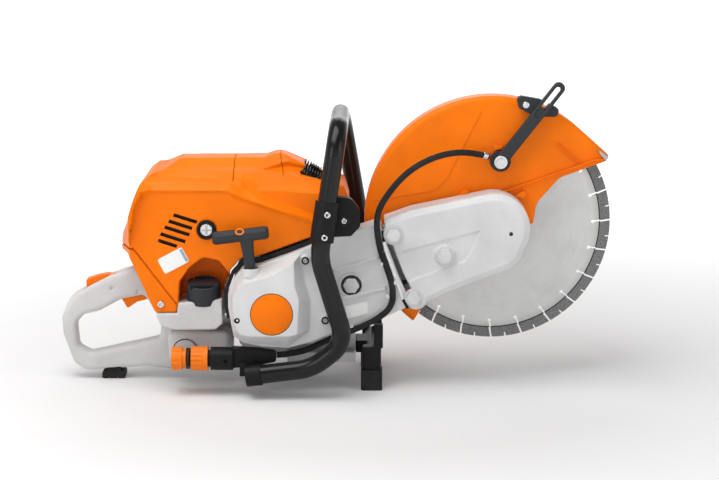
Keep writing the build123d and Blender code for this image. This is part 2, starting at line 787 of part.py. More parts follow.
def rubber_feet():
    feet = []
    rear = outline((-577, -225, 3), (-577, -236, 3), (-569, -236, 0), (-567, -233, 0), (-565, -236, 0),
                   (-556, -236, 0), (-554, -233, 0), (-552, -236, 0), (-543, -236, 3), (-543, -225, 3))
    body = slab(rear, 13.5, -13.5)
    for side in (-1, 1):
        body += block(-570.5, -549.5, side * 9 - 3.5, side * 9 + 3.5, -226, -217.5)
    feet.append(body)
    for side in (-1, 1):
        foot = block(-192, -161, side * FOOT_Y - 14, side * FOOT_Y + 14, FLOOR_Z, -206)
        foot = fillet(foot.edges().filter_by(Axis.Z), 5)
        foot -= block(-189, -164, side * FOOT_Y - 11, side * FOOT_Y + 11, -232, -200)
        feet.append(foot)
    return Compound(feet)


# ---------- front handle and stand ----------
def front_handle():
    return pipe(HANDLE_PATH, HANDLE_RADII, HANDLE_TUBE_R)


def on_leg(level):
    """Point on the front handle's near leg at a given height."""
    low, high = Vector(*HANDLE_PATH[3]), Vector(*HANDLE_PATH[4])
    return low + (high - low) * ((level - low.Z) / (high.Z - low.Z))


def handle_clamp():
    low, high = on_leg(-6), on_leg(50)
    sleeve = rod(tuple(low), tuple(high), 17)
    plate = outline(
        (-242, -4, 0), (-206, -2, 4), (-193, 12, 6), (-194, 36, 10), (-206, 52, 12), (-240, 56, 0),
    )
    near = sleeve + slab(plate, -100, -116) + disc(-214, 22, 14, -72, -100)
    near -= rod(tuple(on_leg(-40)), tuple(on_leg(90)), HANDLE_TUBE_R + RUN)
    far_top = Vector(*HANDLE_PATH[5])
    far_low = Vector(*HANDLE_PATH[6])
    along = (far_low - far_top).normalized()
    far = rod(tuple(far_low - along * 30), tuple(far_low + along * 8), 17)
    far += block(-206, -180, 61, 96, -60, -28)
    far -= rod(tuple(far_top), tuple(far_low + along * 0.2), HANDLE_TUBE_R + RUN)
    return Compound([near, far])


def front_stand():
    legs = Part()
    for side in (-1, 1):
        near, far = side * FOOT_Y - 10.8, side * FOOT_Y + 10.8
        for leg in (block(-188.8, -164.2, near, far, -231.8, -206), block(-190, -163, near, far, -206, -172)):
            legs += fillet(leg.edges().filter_by(Axis.Z), 4)
        legs += block(-173, -160, side * FOOT_Y - 9, side * FOOT_Y + 9, -174, -140)
    legs += rod((-177, 4 - FOOT_Y, -182), (-177, FOOT_Y - 4, -182), 8)
    return legs + block(-199.8, -177, -24, 24, -194, -176)


# ---------- guard and water ----------
def guard_side():
    """Side view of the guard: its rim circle and a straight lip to the front tip."""
    lip = tangent_spot(GUARD_TIP, GUARD_R, 1)
    return Circle(GUARD_R) + make_face(Polyline((0, 0), lip, GUARD_TIP, (164, 92), close=True))


def guard_sector():
    """Stretch of the wheel that the guard covers, from the front tip over to the lower rear."""
    return outline(
        (0, -3, 0), (60, 0, 0), (64, 30, 30), (98, 68, 20), (164, 92, 0), (240, 118, 0), (240, 240, 0),
        (-240, 240, 0), (-240, -60, 0), (-152, -170, 0), (-123, -160, 0), (-100, -122, 0),
    ) + Circle(44)


def guard():
    rim = slab(guard_side(), GUARD_HALF, -GUARD_HALF)
    shoulders = [e for e in rim.edges() if abs(abs(e.center().Y) - GUARD_HALF) < 0.01
                 and e.length > 40]
    rim = fillet(shoulders, 9)
    inner = disc(0, 0, GUARD_R - GUARD_T, GUARD_HALF - GUARD_T, GUARD_T - GUARD_HALF)
    inner = fillet(inner.edges().filter_by(GeomType.CIRCLE), 7)
    body = (rim & slab(guard_sector(), 40, -40)) - inner
    body -= disc(0, 0, 78, 40, 10)
    body += disc(0, 0, 44, -GUARD_HALF + GUARD_T, -28.5, bore=NOSE_R + RUN)
    body -= disc(0, 0, NOSE_R + RUN, -10, -40)
    body += disc(*NOZZLE, 13, -GUARD_HALF, -27)
    for rib in GUARD_RIBS:
        body += slab(trace(Polyline(*rib), 2.4), -GUARD_HALF + 1, -GUARD_HALF - 0.9)
    return body


def guard_lever():
    foot, top = Vector(10, 94), Vector(93, 201)
    along = (top - foot).normalized()
    middle = (foot + top) * 0.5
    angle = math.degrees(math.atan2(along.Y, along.X))
    bar = Pos(middle.X, middle.Y) * Rot(0, 0, angle) * SlotOverall((top - foot).length + 16, 17)
    slot_spot = foot + along * ((top - foot).length - 26)
    slot = Pos(slot_spot.X, slot_spot.Y) * Rot(0, 0, angle) * SlotOverall(54, 8)
    body = slab(bar - slot, -36, -47)
    rims = [e for e in body.edges() if abs(e.center().Y + 47) < 0.01]
    body = fillet(rims, 2)
    lobes = outline((32, 190, 6), (36, 171, 6), (58, 160, 8), (92, 158, 8), (94, 170, 6), (66, 184, 10))
    body += slab(lobes - slot, -24.05, -38)
    body += disc(*NOZZLE, 15, -27.05, -40)
    body -= disc(*NOZZLE, 5 + RUN, -20, -60)
    return body - disc(46, 176, 2.7, -20, -60)


def nozzle_fitting():
    """Banjo bolt through the lever's hub with the hose tail on it."""
    body = disc(*NOZZLE, 5, -28, -47) + disc(*NOZZLE, 9.5, -47.05, -50)
    body += hexagon(*NOZZLE, 6.5, -50, -54)
    screw = screw_at(46, 176, -38, 12)
    return Compound([body, screw])


def upper_hose():
    return pipe(UPPER_HOSE, route_radii(UPPER_HOSE), HOSE_R)


def lower_hose():
    return pipe(LOWER_HOSE, route_radii(LOWER_HOSE), HOSE_R)


def along_x(x0, x1, radius, bore=0.0):
    return rod((x0, COUPLING_Y, COUPLING_Z), (x1, COUPLING_Y, COUPLING_Z), radius, bore)


def valve_body():
    body = along_x(-440, -408, 12) + along_x(-408, -376, 16.8)
    bar = outline(
        (-380, -167, 4), (-340, -169, 6), (-314, -173, 4), (-314, -186, 3), (-340, -192, 8),
        (-380, -196, 4),
    )
    body += slab(bar, -93, -112)
    body -= along_x(-460, -392, 9)
    body -= disc(-386, -183, 3, -118, -130)
    low = Vector(*HANDLE_PATH[0])
    along = (Vector(*HANDLE_PATH[1]) - low).normalized()
    socket = rod(tuple(low - along * 4), tuple(low + along * 18), 15.5)
    body += socket + block(-366, -346, -120, -104, -206, -186)
    return body - rod(tuple(low - along * 0.1), tuple(low + along * 60), HANDLE_TUBE_R + RUN)


def coupling_collar():
    body = along_x(-436, -412, 17.5, bore=12.05)
    for i in range(16):
        angle = math.radians(22.5 * i)
        y = COUPLING_Y + 18.1 * math.cos(angle)
        z = COUPLING_Z + 18.1 * math.sin(angle)
        body -= rod((-440, y, z), (-417, y, z), 1.5)
    return body


def coupling_nose():
    body = along_x(-449, -440.1, 14, bore=9) + along_x(-464, -449, 17, bore=9)
    for i in range(8):
        angle = math.radians(45 * i)
        y = COUPLING_Y + 18.6 * math.cos(angle)
        z = COUPLING_Z + 18.6 * math.sin(angle)
        body -= rod((-466, y, z), (-452, y, z), 3)
    return body


# ---------- far side ----------
def fan_cover():
    base = starter_face(STARTER_BASE)
    body = slab(base, 100, 44)
    body -= slab(offset(base, -WALL), 97, 30)
    bars = Sketch()
    for i in range(24):
        bars += Rot(0, 0, 15 * i) * Pos(29, 0) * SlotOverall(26, 4)
    body -= slab(Pos(*CRANK) * bars, 110, 90)
    return body


PARTS = {
    "blade_core": blade_core,
    "blade_segments": blade_segments,
    "inner_flange": lambda: flange(-CORE_T / 2, -9),
    "outer_flange": lambda: flange(9, CORE_T / 2),
    "spindle": spindle,
    "spindle_bolt": spindle_bolt,
    "driven_pulley": driven_pulley,
    "spindle_bearings": spindle_bearings,
    "bearing_arm": bearing_arm,
    "belt_cover": belt_cover,
    "arm_nuts": arm_nuts,
    "drive_housing": drive_housing,
    "tension_nut": tension_nut,
    "drive_belt": drive_belt,
    "clutch_drum": clutch_drum,
    "clutch_hub": clutch_hub,
    "crankshaft": crankshaft,
    "crank_bearings": crank_bearings,
    "crankcase": crankcase,
    "cylinder": cylinder,
    "piston": piston,
    "engine_pins": engine_pins,
    "connecting_rod": connecting_rod,
    "spark_plug": spark_plug,
    "decompression_valve": decompression_valve,
    "muffler": muffler,
    "throttle_body": throttle_body,
    "throttle_plate": throttle_plate,
    "air_filter": air_filter,
    "flywheel": flywheel,
    "ignition_module": ignition_module,
    "fan_cover": fan_cover,
    "starter_cover": starter_cover,
    "cover_seal": cover_seal,
    "rope_rotor": rope_rotor,
    "recoil_spring": recoil_spring,
    "starter_grip": starter_grip,
    "starter_rope": starter_rope,
    "shroud_cover": shroud_cover,
    "rear_shroud": rear_shroud,
    "cover_screws": cover_screws,
    "fuel_tank": fuel_tank,
    "fuel_cap": fuel_cap,
    "rear_handle": rear_handle,
    "handle_pins": handle_pins,
    "lockout": lockout,
    "trigger": trigger,
    "stop_button": stop_button,
    "rubber_feet": rubber_feet,
    "front_handle": front_handle,
    "handle_clamp": handle_clamp,
    "front_stand": front_stand,
    "guard": guard,
    "guard_lever": guard_lever,
    "nozzle_fitting": nozzle_fitting,
    "upper_hose": upper_hose,
    "lower_hose": lower_hose,
    "valve_body": valve_body,
    "coupling_collar": coupling_collar,
    "coupling_nose": coupling_nose,
}


def main():
    os.makedirs("parts", exist_ok=True)
    solids = {name: make() for name, make in PARTS.items()}
    low = [min(tuple(s.bounding_box().min)[i] for s in solids.values()) for i in range(3)]
    high = [max(tuple(s.bounding_box().max)[i] for s in solids.values()) for i in range(3)]
    shift = Pos(-(low[0] + high[0]) / 2, -(low[1] + high[1]) / 2, -low[2])
    for name, solid in solids.items():
        export_step(shift * solid, f"parts/{name}.step")
    print("moved by", [round(v, 3) for v in shift.position])
    print("size", [round(high[i] - low[i], 1) for i in range(3)])
    for name, route in (("lower_hose", LOWER_HOSE), ("upper_hose", UPPER_HOSE)):
        path = FilletPolyline(*route, radius=route_radii(route))
        section = math.pi * HOSE_R ** 2
        print(name, "radii", [round(r) for r in route_radii(route)], "length", round(path.length, 1),
              "volume ratio", round(solids[name].volume / (section * path.length), 4))


main()
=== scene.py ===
import json
import math

import bmesh
import bpy
from mathutils import Matrix, Vector


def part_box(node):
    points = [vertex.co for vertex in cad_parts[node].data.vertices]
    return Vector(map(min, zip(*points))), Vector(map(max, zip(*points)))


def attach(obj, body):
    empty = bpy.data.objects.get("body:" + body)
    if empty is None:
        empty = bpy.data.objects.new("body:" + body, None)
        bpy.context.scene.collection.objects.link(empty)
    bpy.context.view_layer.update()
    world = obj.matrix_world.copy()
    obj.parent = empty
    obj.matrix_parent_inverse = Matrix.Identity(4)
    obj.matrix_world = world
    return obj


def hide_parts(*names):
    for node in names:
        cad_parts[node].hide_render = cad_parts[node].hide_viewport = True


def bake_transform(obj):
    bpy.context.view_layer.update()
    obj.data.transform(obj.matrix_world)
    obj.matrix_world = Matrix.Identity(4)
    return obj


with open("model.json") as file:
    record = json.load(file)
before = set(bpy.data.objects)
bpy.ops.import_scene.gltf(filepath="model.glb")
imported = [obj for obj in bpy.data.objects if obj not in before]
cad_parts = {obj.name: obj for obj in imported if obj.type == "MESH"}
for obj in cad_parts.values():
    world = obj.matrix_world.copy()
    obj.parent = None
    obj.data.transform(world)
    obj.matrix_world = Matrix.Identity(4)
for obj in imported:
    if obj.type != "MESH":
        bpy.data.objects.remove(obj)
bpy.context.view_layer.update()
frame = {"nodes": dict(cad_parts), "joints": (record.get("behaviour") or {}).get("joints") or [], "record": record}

JOINTS = {j["name"]: j for j in frame["joints"]}
SPINDLE = Vector(JOINTS["blade_spin"]["pos_m"])
MM = 0.001
MERGE = 1e-6                        # vertices nearer than this, in metres, are one

# ---------- places in the side view ----------
# Sizes are in millimetres from the spindle: x forward, y away from the belt side, z up.
CRANK = (-319.0, -112.0)
TENSION = (-206.0, -81.0)
KNOB = (-413.0, 3.0)


def at(x, y, z):
    """A place given from the spindle in millimetres, as a point in the frame in metres."""
    return SPINDLE + Vector((x, y, z)) * MM


# ---------- materials ----------
def new_material(name):
    material = bpy.data.materials.new(name)
    material.use_nodes = True
    tree = material.node_tree
    return material, tree, tree.nodes["Principled BSDF"]


def link(tree, a, b):
    tree.links.new(a, b)


def maths(tree, operation, a, b):
    """What a Math node makes of a socket and a second socket or number."""
    node = tree.nodes.new("ShaderNodeMath")
    node.operation = operation
    link(tree, a, node.inputs[0])
    if isinstance(b, (int, float)):
        node.inputs[1].default_value = b
    else:
        link(tree, b, node.inputs[1])
    return node.outputs[0]


def length_of(tree, vector):
    node = tree.nodes.new("ShaderNodeVectorMath")
    node.operation = "LENGTH"
    link(tree, vector, node.inputs[0])
    return node.outputs["Value"]


def place_vector(tree, scale=(1, 1, 1)):
    """Object coordinates, centred on the spindle and stretched."""
    coords = tree.nodes.new("ShaderNodeTexCoord")
    mapping = tree.nodes.new("ShaderNodeMapping")
    mapping.inputs["Scale"].default_value = scale
    mapping.inputs["Location"].default_value = tuple(-SPINDLE[i] * scale[i] for i in range(3))
    link(tree, coords.outputs["Object"], mapping.inputs["Vector"])
    return mapping.outputs["Vector"]


def noise(tree, vector, scale, detail=3.0, rough=0.55):
    node = tree.nodes.new("ShaderNodeTexNoise")
    node.inputs["Scale"].default_value = scale
    node.inputs["Detail"].default_value = detail
    node.inputs["Roughness"].default_value = rough
    link(tree, vector, node.inputs["Vector"])
    return node.outputs["Fac"]


def remap(tree, value, low, high, from_low=0.3, from_high=0.7):
    node = tree.nodes.new("ShaderNodeMapRange")
    node.inputs["From Min"].default_value = from_low
    node.inputs["From Max"].default_value = from_high
    node.inputs["To Min"].default_value = low
    node.inputs["To Max"].default_value = high
    link(tree, value, node.inputs["Value"])
    return node.outputs["Result"]


def mix(tree, factor, a, b):
    """Colour between a and b; each is a colour or a socket."""
    node = tree.nodes.new("ShaderNodeMix")
    node.data_type = "RGBA"
    link(tree, factor, node.inputs["Factor"])
    for value, socket in ((a, node.inputs[6]), (b, node.inputs[7])):
        if isinstance(value, tuple):
            socket.default_value = (*value, 1)
        else:
            link(tree, value, socket)
    return node.outputs[2]


def edge_mask(tree, radius):
    """White along edges and corners, from how far a rounded normal leans off the face.

    Returns that mask and the rounded normal.
    """
    bevel = tree.nodes.new("ShaderNodeBevel")
    bevel.samples = 4
    bevel.inputs["Radius"].default_value = radius
    geometry = tree.nodes.new("ShaderNodeNewGeometry")
    dot = tree.nodes.new("ShaderNodeVectorMath")
    dot.operation = "DOT_PRODUCT"
    link(tree, bevel.outputs["Normal"], dot.inputs[0])
    link(tree, geometry.outputs["Normal"], dot.inputs[1])
    return remap(tree, dot.outputs["Value"], 1.0, 0.0, 0.8, 0.99), bevel.outputs["Normal"]


def bump(tree, height, strength, distance, normal=None):
    node = tree.nodes.new("ShaderNodeBump")
    node.inputs["Strength"].default_value = strength
    node.inputs["Distance"].default_value = distance
    link(tree, height, node.inputs["Height"])
    if normal is not None:
        link(tree, normal, node.inputs["Normal"])
    return node.outputs["Normal"]


def moulded(name, colour, rough=0.42, grain=900, grain_depth=0.00006, mottle=0.06, worn=None,
            edge=0.0012, metallic=0.0, coat=0.0, dirt=0.0, sheen=0.35):
    """Moulded plastic or coated metal: fine grain, faint mottling, rubbed edges, uneven gloss."""
    material, tree, shader = new_material(name)
    vector = place_vector(tree)
    broad = noise(tree, vector, 14, 4)
    fine = noise(tree, vector, grain, 2)
    darker = tuple(c * (1 - mottle * 2) for c in colour)
    lighter = tuple(min(1, c * (1 + mottle)) for c in colour)
    tone = mix(tree, remap(tree, broad, 0, 1), darker, lighter)
    mask, round_normal = edge_mask(tree, edge)
    if worn:
        scuffs = noise(tree, vector, 160, 5, 0.7)
        patchy = maths(tree, "MULTIPLY", mask, remap(tree, scuffs, 0, 0.6, 0.42, 0.62))
        tone = mix(tree, patchy, tone, worn)
    if dirt:
        specks = noise(tree, vector, 45, 8, 0.75)
        soiled = tuple(c * 0.35 for c in colour)
        tone = mix(tree, remap(tree, specks, 0, dirt, 0.52, 0.8), tone, soiled)
    link(tree, tone, shader.inputs["Base Color"])
    link(tree, remap(tree, broad, rough - 0.05, rough + 0.07), shader.inputs["Roughness"])
    shader.inputs["Metallic"].default_value = metallic
    shader.inputs["Specular IOR Level"].default_value = sheen
    shader.inputs["Coat Weight"].default_value = coat
    shader.inputs["Coat Roughness"].default_value = 0.12
    link(tree, bump(tree, fine, 0.35, grain_depth, round_normal), shader.inputs["Normal"])
    return material


def machined(name, colour, rough=0.28, along=(1, 1, 1), depth=0.00004):
    """Bare metal with fine directional marks and a little staining."""
    material, tree, shader = new_material(name)
    marks = noise(tree, place_vector(tree, along), 420, 3, 0.7)
    stain = noise(tree, place_vector(tree), 30, 5)
    tone = mix(tree, remap(tree, stain, 0, 1), tuple(c * 0.8 for c in colour), colour)
    link(tree, tone, shader.inputs["Base Color"])
    shader.inputs["Metallic"].default_value = 1.0
    link(tree, remap(tree, marks, rough - 0.06, rough + 0.14), shader.inputs["Roughness"])
    _, round_normal = edge_mask(tree, 0.0006)
    link(tree, bump(tree, marks, 0.3, depth, round_normal), shader.inputs["Normal"])
    return material


def polar(tree):
    """Radius and angle about the spindle, as two sockets."""
    vector = place_vector(tree)
    split = tree.nodes.new("ShaderNodeSeparateXYZ")
    link(tree, vector, split.inputs[0])
    flat = tree.nodes.new("ShaderNodeCombineXYZ")
    link(tree, split.outputs["X"], flat.inputs["X"])
    link(tree, split.outputs["Z"], flat.inputs["Y"])
    angle = maths(tree, "ARCTAN2", split.outputs["Z"], split.outputs["X"])
    return length_of(tree, flat.outputs[0]), angle


def blade_steel():
    """Ground steel disc: fine marks round the axis, soft sheen, faint heat tint near the rim."""
    material, tree, shader = new_material("ground_disc_steel")
    radius, angle = polar(tree)
    rings = tree.nodes.new("ShaderNodeCombineXYZ")
    link(tree, maths(tree, "MULTIPLY", radius, 1400), rings.inputs["X"])
    link(tree, maths(tree, "MULTIPLY", angle, 1.6), rings.inputs["Y"])
    marks = noise(tree, rings.outputs[0], 1.0, 4, 0.65)
    stain = noise(tree, place_vector(tree), 18, 6, 0.6)
    streaks = remap(tree, marks, 0, 1, 0.25, 0.75)
    light = mix(tree, streaks, (0.52, 0.52, 0.52), (0.66, 0.66, 0.655))
    tone = mix(tree, remap(tree, stain, 0, 0.5, 0.45, 0.7), light, (0.46, 0.455, 0.45))
    rim = remap(tree, radius, 0, 0.45, 0.150, 0.1605)
    tone = mix(tree, rim, tone, (0.33, 0.31, 0.3))
    tone = mix(tree, remap(tree, radius, 0, 1, 0.1585, 0.1592), tone, (0.02, 0.02, 0.02))
    link(tree, tone, shader.inputs["Base Color"])
    shader.inputs["Metallic"].default_value = 0.85
    shader.inputs["Anisotropic"].default_value = 0.5
    link(tree, remap(tree, marks, 0.34, 0.52), shader.inputs["Roughness"])
    link(tree, bump(tree, marks, 0.25, 0.00004), shader.inputs["Normal"])
    return material


def grit():
    """Sintered diamond segment: dark metal with pale and glinting grains standing out of it."""
    material, tree, shader = new_material("diamond_segment")
    vector = place_vector(tree)
    cells = tree.nodes.new("ShaderNodeTexVoronoi")
    cells.inputs["Scale"].default_value = 900
    link(tree, vector, cells.inputs["Vector"])
    rough = noise(tree, vector, 700, 6, 0.8)
    patches = remap(tree, rough, 0, 1, 0.35, 0.65)
    base = mix(tree, patches, (0.03, 0.03, 0.03), (0.34, 0.34, 0.34))
    grains = remap(tree, cells.outputs["Distance"], 1, 0, 0.0, 0.28)
    link(tree, mix(tree, grains, base, (0.62, 0.61, 0.58)), shader.inputs["Base Color"])
    shader.inputs["Metallic"].default_value = 0.4
    shader.inputs["Roughness"].default_value = 0.7
    link(tree, bump(tree, rough, 1.0, 0.0004), shader.inputs["Normal"])
    return material


def ribbed_rubber(name, colour, scale, axis):
    """Rubber with fine mould lines along one axis."""
    material, tree, shader = new_material(name)
    wave = tree.nodes.new("ShaderNodeTexWave")
    wave.bands_direction = axis
    wave.inputs["Scale"].default_value = scale
    wave.inputs["Distortion"].default_value = 0.4
    vector = place_vector(tree)
    link(tree, vector, wave.inputs["Vector"])
    dust = noise(tree, vector, 60, 5)
    dusty = tuple(c * 2.2 + 0.01 for c in colour)
    link(tree, mix(tree, remap(tree, dust, 0, 0.5), colour, dusty), shader.inputs["Base Color"])
    shader.inputs["Roughness"].default_value = 0.72
    shader.inputs["Specular IOR Level"].default_value = 0.2
    link(tree, bump(tree, wave.outputs["Fac"], 0.5, 0.0003), shader.inputs["Normal"])
    return material


def pleated_paper():
    """Filter paper with fibres drawn out along its pleats."""
    material, tree, shader = new_material("filter_pleats")
    fibres = noise(tree, place_vector(tree, (1, 1, 6)), 350, 5)
    tone = mix(tree, fibres, (0.62, 0.54, 0.36), (0.8, 0.74, 0.58))
    link(tree, tone, shader.inputs["Base Color"])
    shader.inputs["Roughness"].default_value = 0.9
    link(tree, bump(tree, fibres, 0.6, 0.0003), shader.inputs["Normal"])
    return material


def braid():
    """Pale cord with a fine slanting weave."""
    material, tree, shader = new_material("braided_cord")
    weave = tree.nodes.new("ShaderNodeTexWave")
    weave.bands_direction = "DIAGONAL"
    weave.inputs["Scale"].default_value = 500
    link(tree, place_vector(tree), weave.inputs["Vector"])
    tone = mix(tree, weave.outputs["Fac"], (0.3, 0.3, 0.29), (0.75, 0.75, 0.72))
    link(tree, tone, shader.inputs["Base Color"])
    shader.inputs["Roughness"].default_value = 0.85
    link(tree, bump(tree, weave.outputs["Fac"], 0.8, 0.0003), shader.inputs["Normal"])
    return material


ORANGE = (0.93, 0.185, 0.001)
GREY = (0.62, 0.615, 0.615)
PAINT = (0.66, 0.66, 0.66)
MATERIALS = {
    "orange_plastic": moulded("orange_shroud_plastic", ORANGE, 0.38, worn=(0.98, 0.40, 0.04),
                              sheen=0.12),
    "orange_gloss": moulded("orange_coupling_plastic", (0.95, 0.21, 0.002), 0.3, sheen=0.25),
    "orange_guard": moulded("orange_guard_coat", ORANGE, 0.34, grain=500, worn=(0.7, 0.2, 0.03),
                            sheen=0.12),
    "grey_plastic": moulded("grey_handle_plastic", GREY, 0.45, worn=(0.8, 0.8, 0.8), dirt=0.12),
    "grey_paint": moulded("grey_powder_coat", PAINT, 0.42, grain=650, grain_depth=0.00012,
                          worn=(0.78, 0.78, 0.78), dirt=0.12),
    "slate_plastic": moulded("slate_plastic", (0.032, 0.036, 0.040), 0.5, grain=1200,
                             grain_depth=0.00015, worn=(0.12, 0.12, 0.125), sheen=0.2),
    "black_plastic": moulded("black_plastic", (0.010, 0.010, 0.011), 0.45, grain=1200,
                             grain_depth=0.00012, worn=(0.05, 0.05, 0.05), sheen=0.15),
    "black_tube": moulded("black_tube_coat", (0.005, 0.005, 0.006), 0.2, grain=300,
                          worn=(0.03, 0.03, 0.03), sheen=0.3),
    "rubber": ribbed_rubber("black_rubber", (0.012, 0.012, 0.013), 60, "Z"),
    "belt_rubber": ribbed_rubber("belt_rubber", (0.012, 0.012, 0.012), 160, "Y"),
    "core_steel": blade_steel(),
    "segment_grit": grit(),
    "machined_steel": machined("machined_steel", (0.52, 0.52, 0.53), 0.3, (1, 4, 1)),
    "zinc_screw": machined("zinc_screw", (0.72, 0.72, 0.73), 0.22),
    "cast_alloy": moulded("cast_alloy", (0.5, 0.5, 0.51), 0.5, grain=420, grain_depth=0.0003,
                          metallic=0.7, worn=(0.75, 0.75, 0.75)),
    "filter_paper": pleated_paper(),
    "ceramic_white": moulded("glazed_ceramic", (0.82, 0.82, 0.8), 0.12, mottle=0.02, coat=0.6),
    "rope_nylon": braid(),
    # The last two are not slots of the record.
    "label_film": moulded("blank_label_film", (0.86, 0.86, 0.85), 0.25, grain=200, mottle=0.02,
                          coat=0.3),
    "label_strip": moulded("label_strip_ink", (0.30, 0.38, 0.50), 0.3, grain=200, mottle=0.05),
}


def dress_cad_nodes():
    """Gives every CAD node the material of its slot, and returns each node's slot."""
    slots = {part["node"]: part["material_slot"] for part in frame["record"]["subparts"]}
    for name, node in frame["nodes"].items():
        node.data.materials.clear()
        node.data.materials.append(MATERIALS[slots[name]])
    return slots


SLOTS = dress_cad_nodes()


# ---------- mesh helpers ----------
def body_of_node(name):
    for body, nodes in frame["record"]["behaviour"]["bodies"].items():
        if name in nodes:
            return body
    raise KeyError(name)


def place_object(name, data):
    made = bpy.data.objects.new(name, data)
    bpy.context.collection.objects.link(made)
    return made


def mesh_from(bm, name):
    """The mesh of a finished bmesh, which is freed."""
    mesh = bpy.data.meshes.new(name)
    bm.to_mesh(mesh)
    bm.free()
    return mesh


def add_piece(name, mesh, slot, body, smooth=True):
    """Puts a finished mesh in the scene, with its material and the body it rides on.

    A piece with no body here is left on none.
    """
    piece = place_object(name, mesh)
    mesh.materials.clear()
    mesh.materials.append(MATERIALS[slot])
    for face in mesh.polygons:
        face.use_smooth = smooth
    if body:
        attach(piece, body)
    return piece


def apply_modifiers(piece):
    depsgraph = bpy.context.evaluated_depsgraph_get()
    mesh = bpy.data.meshes.new_from_object(piece.evaluated_get(depsgraph))
    piece.modifiers.clear()
    piece.data = mesh


def tool_object(build):
    """A throwaway object whose mesh is made by build(bm)."""
    bm = bmesh.new()
    build(bm)
    return place_object("tool", mesh_from(bm, "tool"))


def round_off(piece, voxel, passes):
    """Rounds every edge: remeshed in voxels of that many millimetres, then relaxed."""
    remesh = piece.modifiers.new("remesh", "REMESH")
    remesh.mode = "VOXEL"
    remesh.voxel_size = voxel * MM
    relax = piece.modifiers.new("relax", "SMOOTH")
    relax.factor = 0.5
    relax.iterations = passes
    apply_modifiers(piece)


def carve_out(piece, tool):
    """Cuts the tool's volume out of the piece and removes the tool."""
    carve = piece.modifiers.new("carve", "BOOLEAN")
    carve.object = tool
    carve.operation = "DIFFERENCE"
    carve.solver = "EXACT"
    apply_modifiers(piece)
    bpy.data.objects.remove(tool)


def stand_for(draft, node):
    """Turns a throwaway object into the form that replaces a CAD node, on its body and slot."""
    mesh = draft.data
    bpy.data.objects.remove(draft)
    form = add_piece(node + "_form", mesh, SLOTS[node], body_of_node(node))
    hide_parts(node)


def soften(node, voxel, passes, extra=None, reshape=None, cut=None):
    """A rounded copy of a CAD node, as a casting or moulding comes out.

    extra adds to the solid first; reshape and cut work on the rounded mesh.
    """
    def build(bm):
        bm.from_mesh(frame["nodes"][node].data)
        bmesh.ops.remove_doubles(bm, verts=bm.verts, dist=MERGE)
        if extra:
            extra(bm)

    draft = tool_object(build)
    round_off(draft, voxel, passes)
    if reshape:
        reshape(draft.data)
    if cut:
        carve_out(draft, cut())
    stand_for(draft, node)


def box_mesh(bm, low, high, turn=0.0):
    """Adds a box between two corners to a bmesh, turned about Y at its middle, in degrees."""
    matrix = Matrix.Translation((low + high) / 2) @ Matrix.Rotation(math.radians(turn), 4, "Y")
    matrix = matrix @ Matrix.Diagonal((*(high - low), 1))
    bmesh.ops.create_cube(bm, size=1.0, matrix=matrix)


def bridge(bm, loops):
    """Faces from each loop of vertices to the next."""
    made = []
    for a, b in zip(loops, loops[1:]):
        for i in range(len(a)):
            j = (i + 1) % len(a)
            made.append(bm.faces.new((a[i], a[j], b[j], b[i])))
    return made


def closed_solid(bm, outlines):
    """Closed solid through matching outlines, each a list of points in the frame."""
    loops = [[bm.verts.new(spot) for spot in outline] for outline in outlines]
    made = [bm.faces.new(loops[0]), bm.faces.new(loops[-1])]
    made += bridge(bm, loops)
    bmesh.ops.recalc_face_normals(bm, faces=made)


def prism(bm, sections):
    """Closed solid through matching side-view outlines, each at its own depth."""
    closed_solid(bm, [[at(x, y, z) for x, z in outline] for outline, y in sections])


def lathe(name, profile, start, direction, slot, body, steps=48):
    """Round piece turned from (radius, distance) pairs along a direction, in millimetres."""
    axis = Vector(direction).normalized()
    side = axis.orthogonal().normalized()
    up = axis.cross(side)
    bm = bmesh.new()
    loops = []
    for radius, distance in profile:
        loop = []
        for i in range(steps):
            angle = 2 * math.pi * i / steps
            spoke = side * math.cos(angle) + up * math.sin(angle)
            loop.append(bm.verts.new(start + (axis * distance + spoke * radius) * MM))
        loops.append(loop)
    bridge(bm, loops + loops[:1])
    bmesh.ops.remove_doubles(bm, verts=bm.verts, dist=MERGE)
    bmesh.ops.recalc_face_normals(bm, faces=bm.faces)
    return add_piece(name, mesh_from(bm, name), slot, body)


def plate(name, corners, y_back, y_front, slot, body, bevel=0.4):
    """Flat piece with an outline in the side view and bevelled edges, in millimetres."""
    bm = bmesh.new()
    prism(bm, [(corners, y_front), (corners, y_back)])
    edges = [e for e in bm.edges if abs(e.verts[0].co.y - e.verts[1].co.y) < 1e-7]
    bmesh.ops.bevel(bm, geom=edges, offset=bevel * MM, segments=2, affect="EDGES", profile=0.6)
    return add_piece(name, mesh_from(bm, name), slot, body, smooth=False)


def rounded(x, z, width, height, radius, turn=0.0, steps=5):
    """Corners of a rounded rectangle about (x, z), turned in the side view."""
    corners = []
    lean = math.radians(turn)
    for cx, cz, start in ((1, 1, 0), (-1, 1, 90), (-1, -1, 180), (1, -1, 270)):
        for i in range(steps + 1):
            angle = math.radians(start + 90 * i / steps)
            px = cx * (width / 2 - radius) + radius * math.cos(angle)
            pz = cz * (height / 2 - radius) + radius * math.sin(angle)
            corners.append((x + px * math.cos(lean) - pz * math.sin(lean),
                            z + px * math.sin(lean) + pz * math.cos(lean)))
    return corners


# ---------- shroud ----------
def between(value, table):
    """Value read off a table of (position, value) pairs in rising order, straight between them."""
    if value <= table[0][0]:
        return table[0][1]
    for (a, va), (b, vb) in zip(table, table[1:]):
        if value <= b:
            return va + (vb - va) * (value - a) / (b - a)
    return table[-1][1]


SHROUD_HALF = 92.0                  # half the shroud's width on its flat sides
THINNEST = 8.0                      # no half-width comes out under this
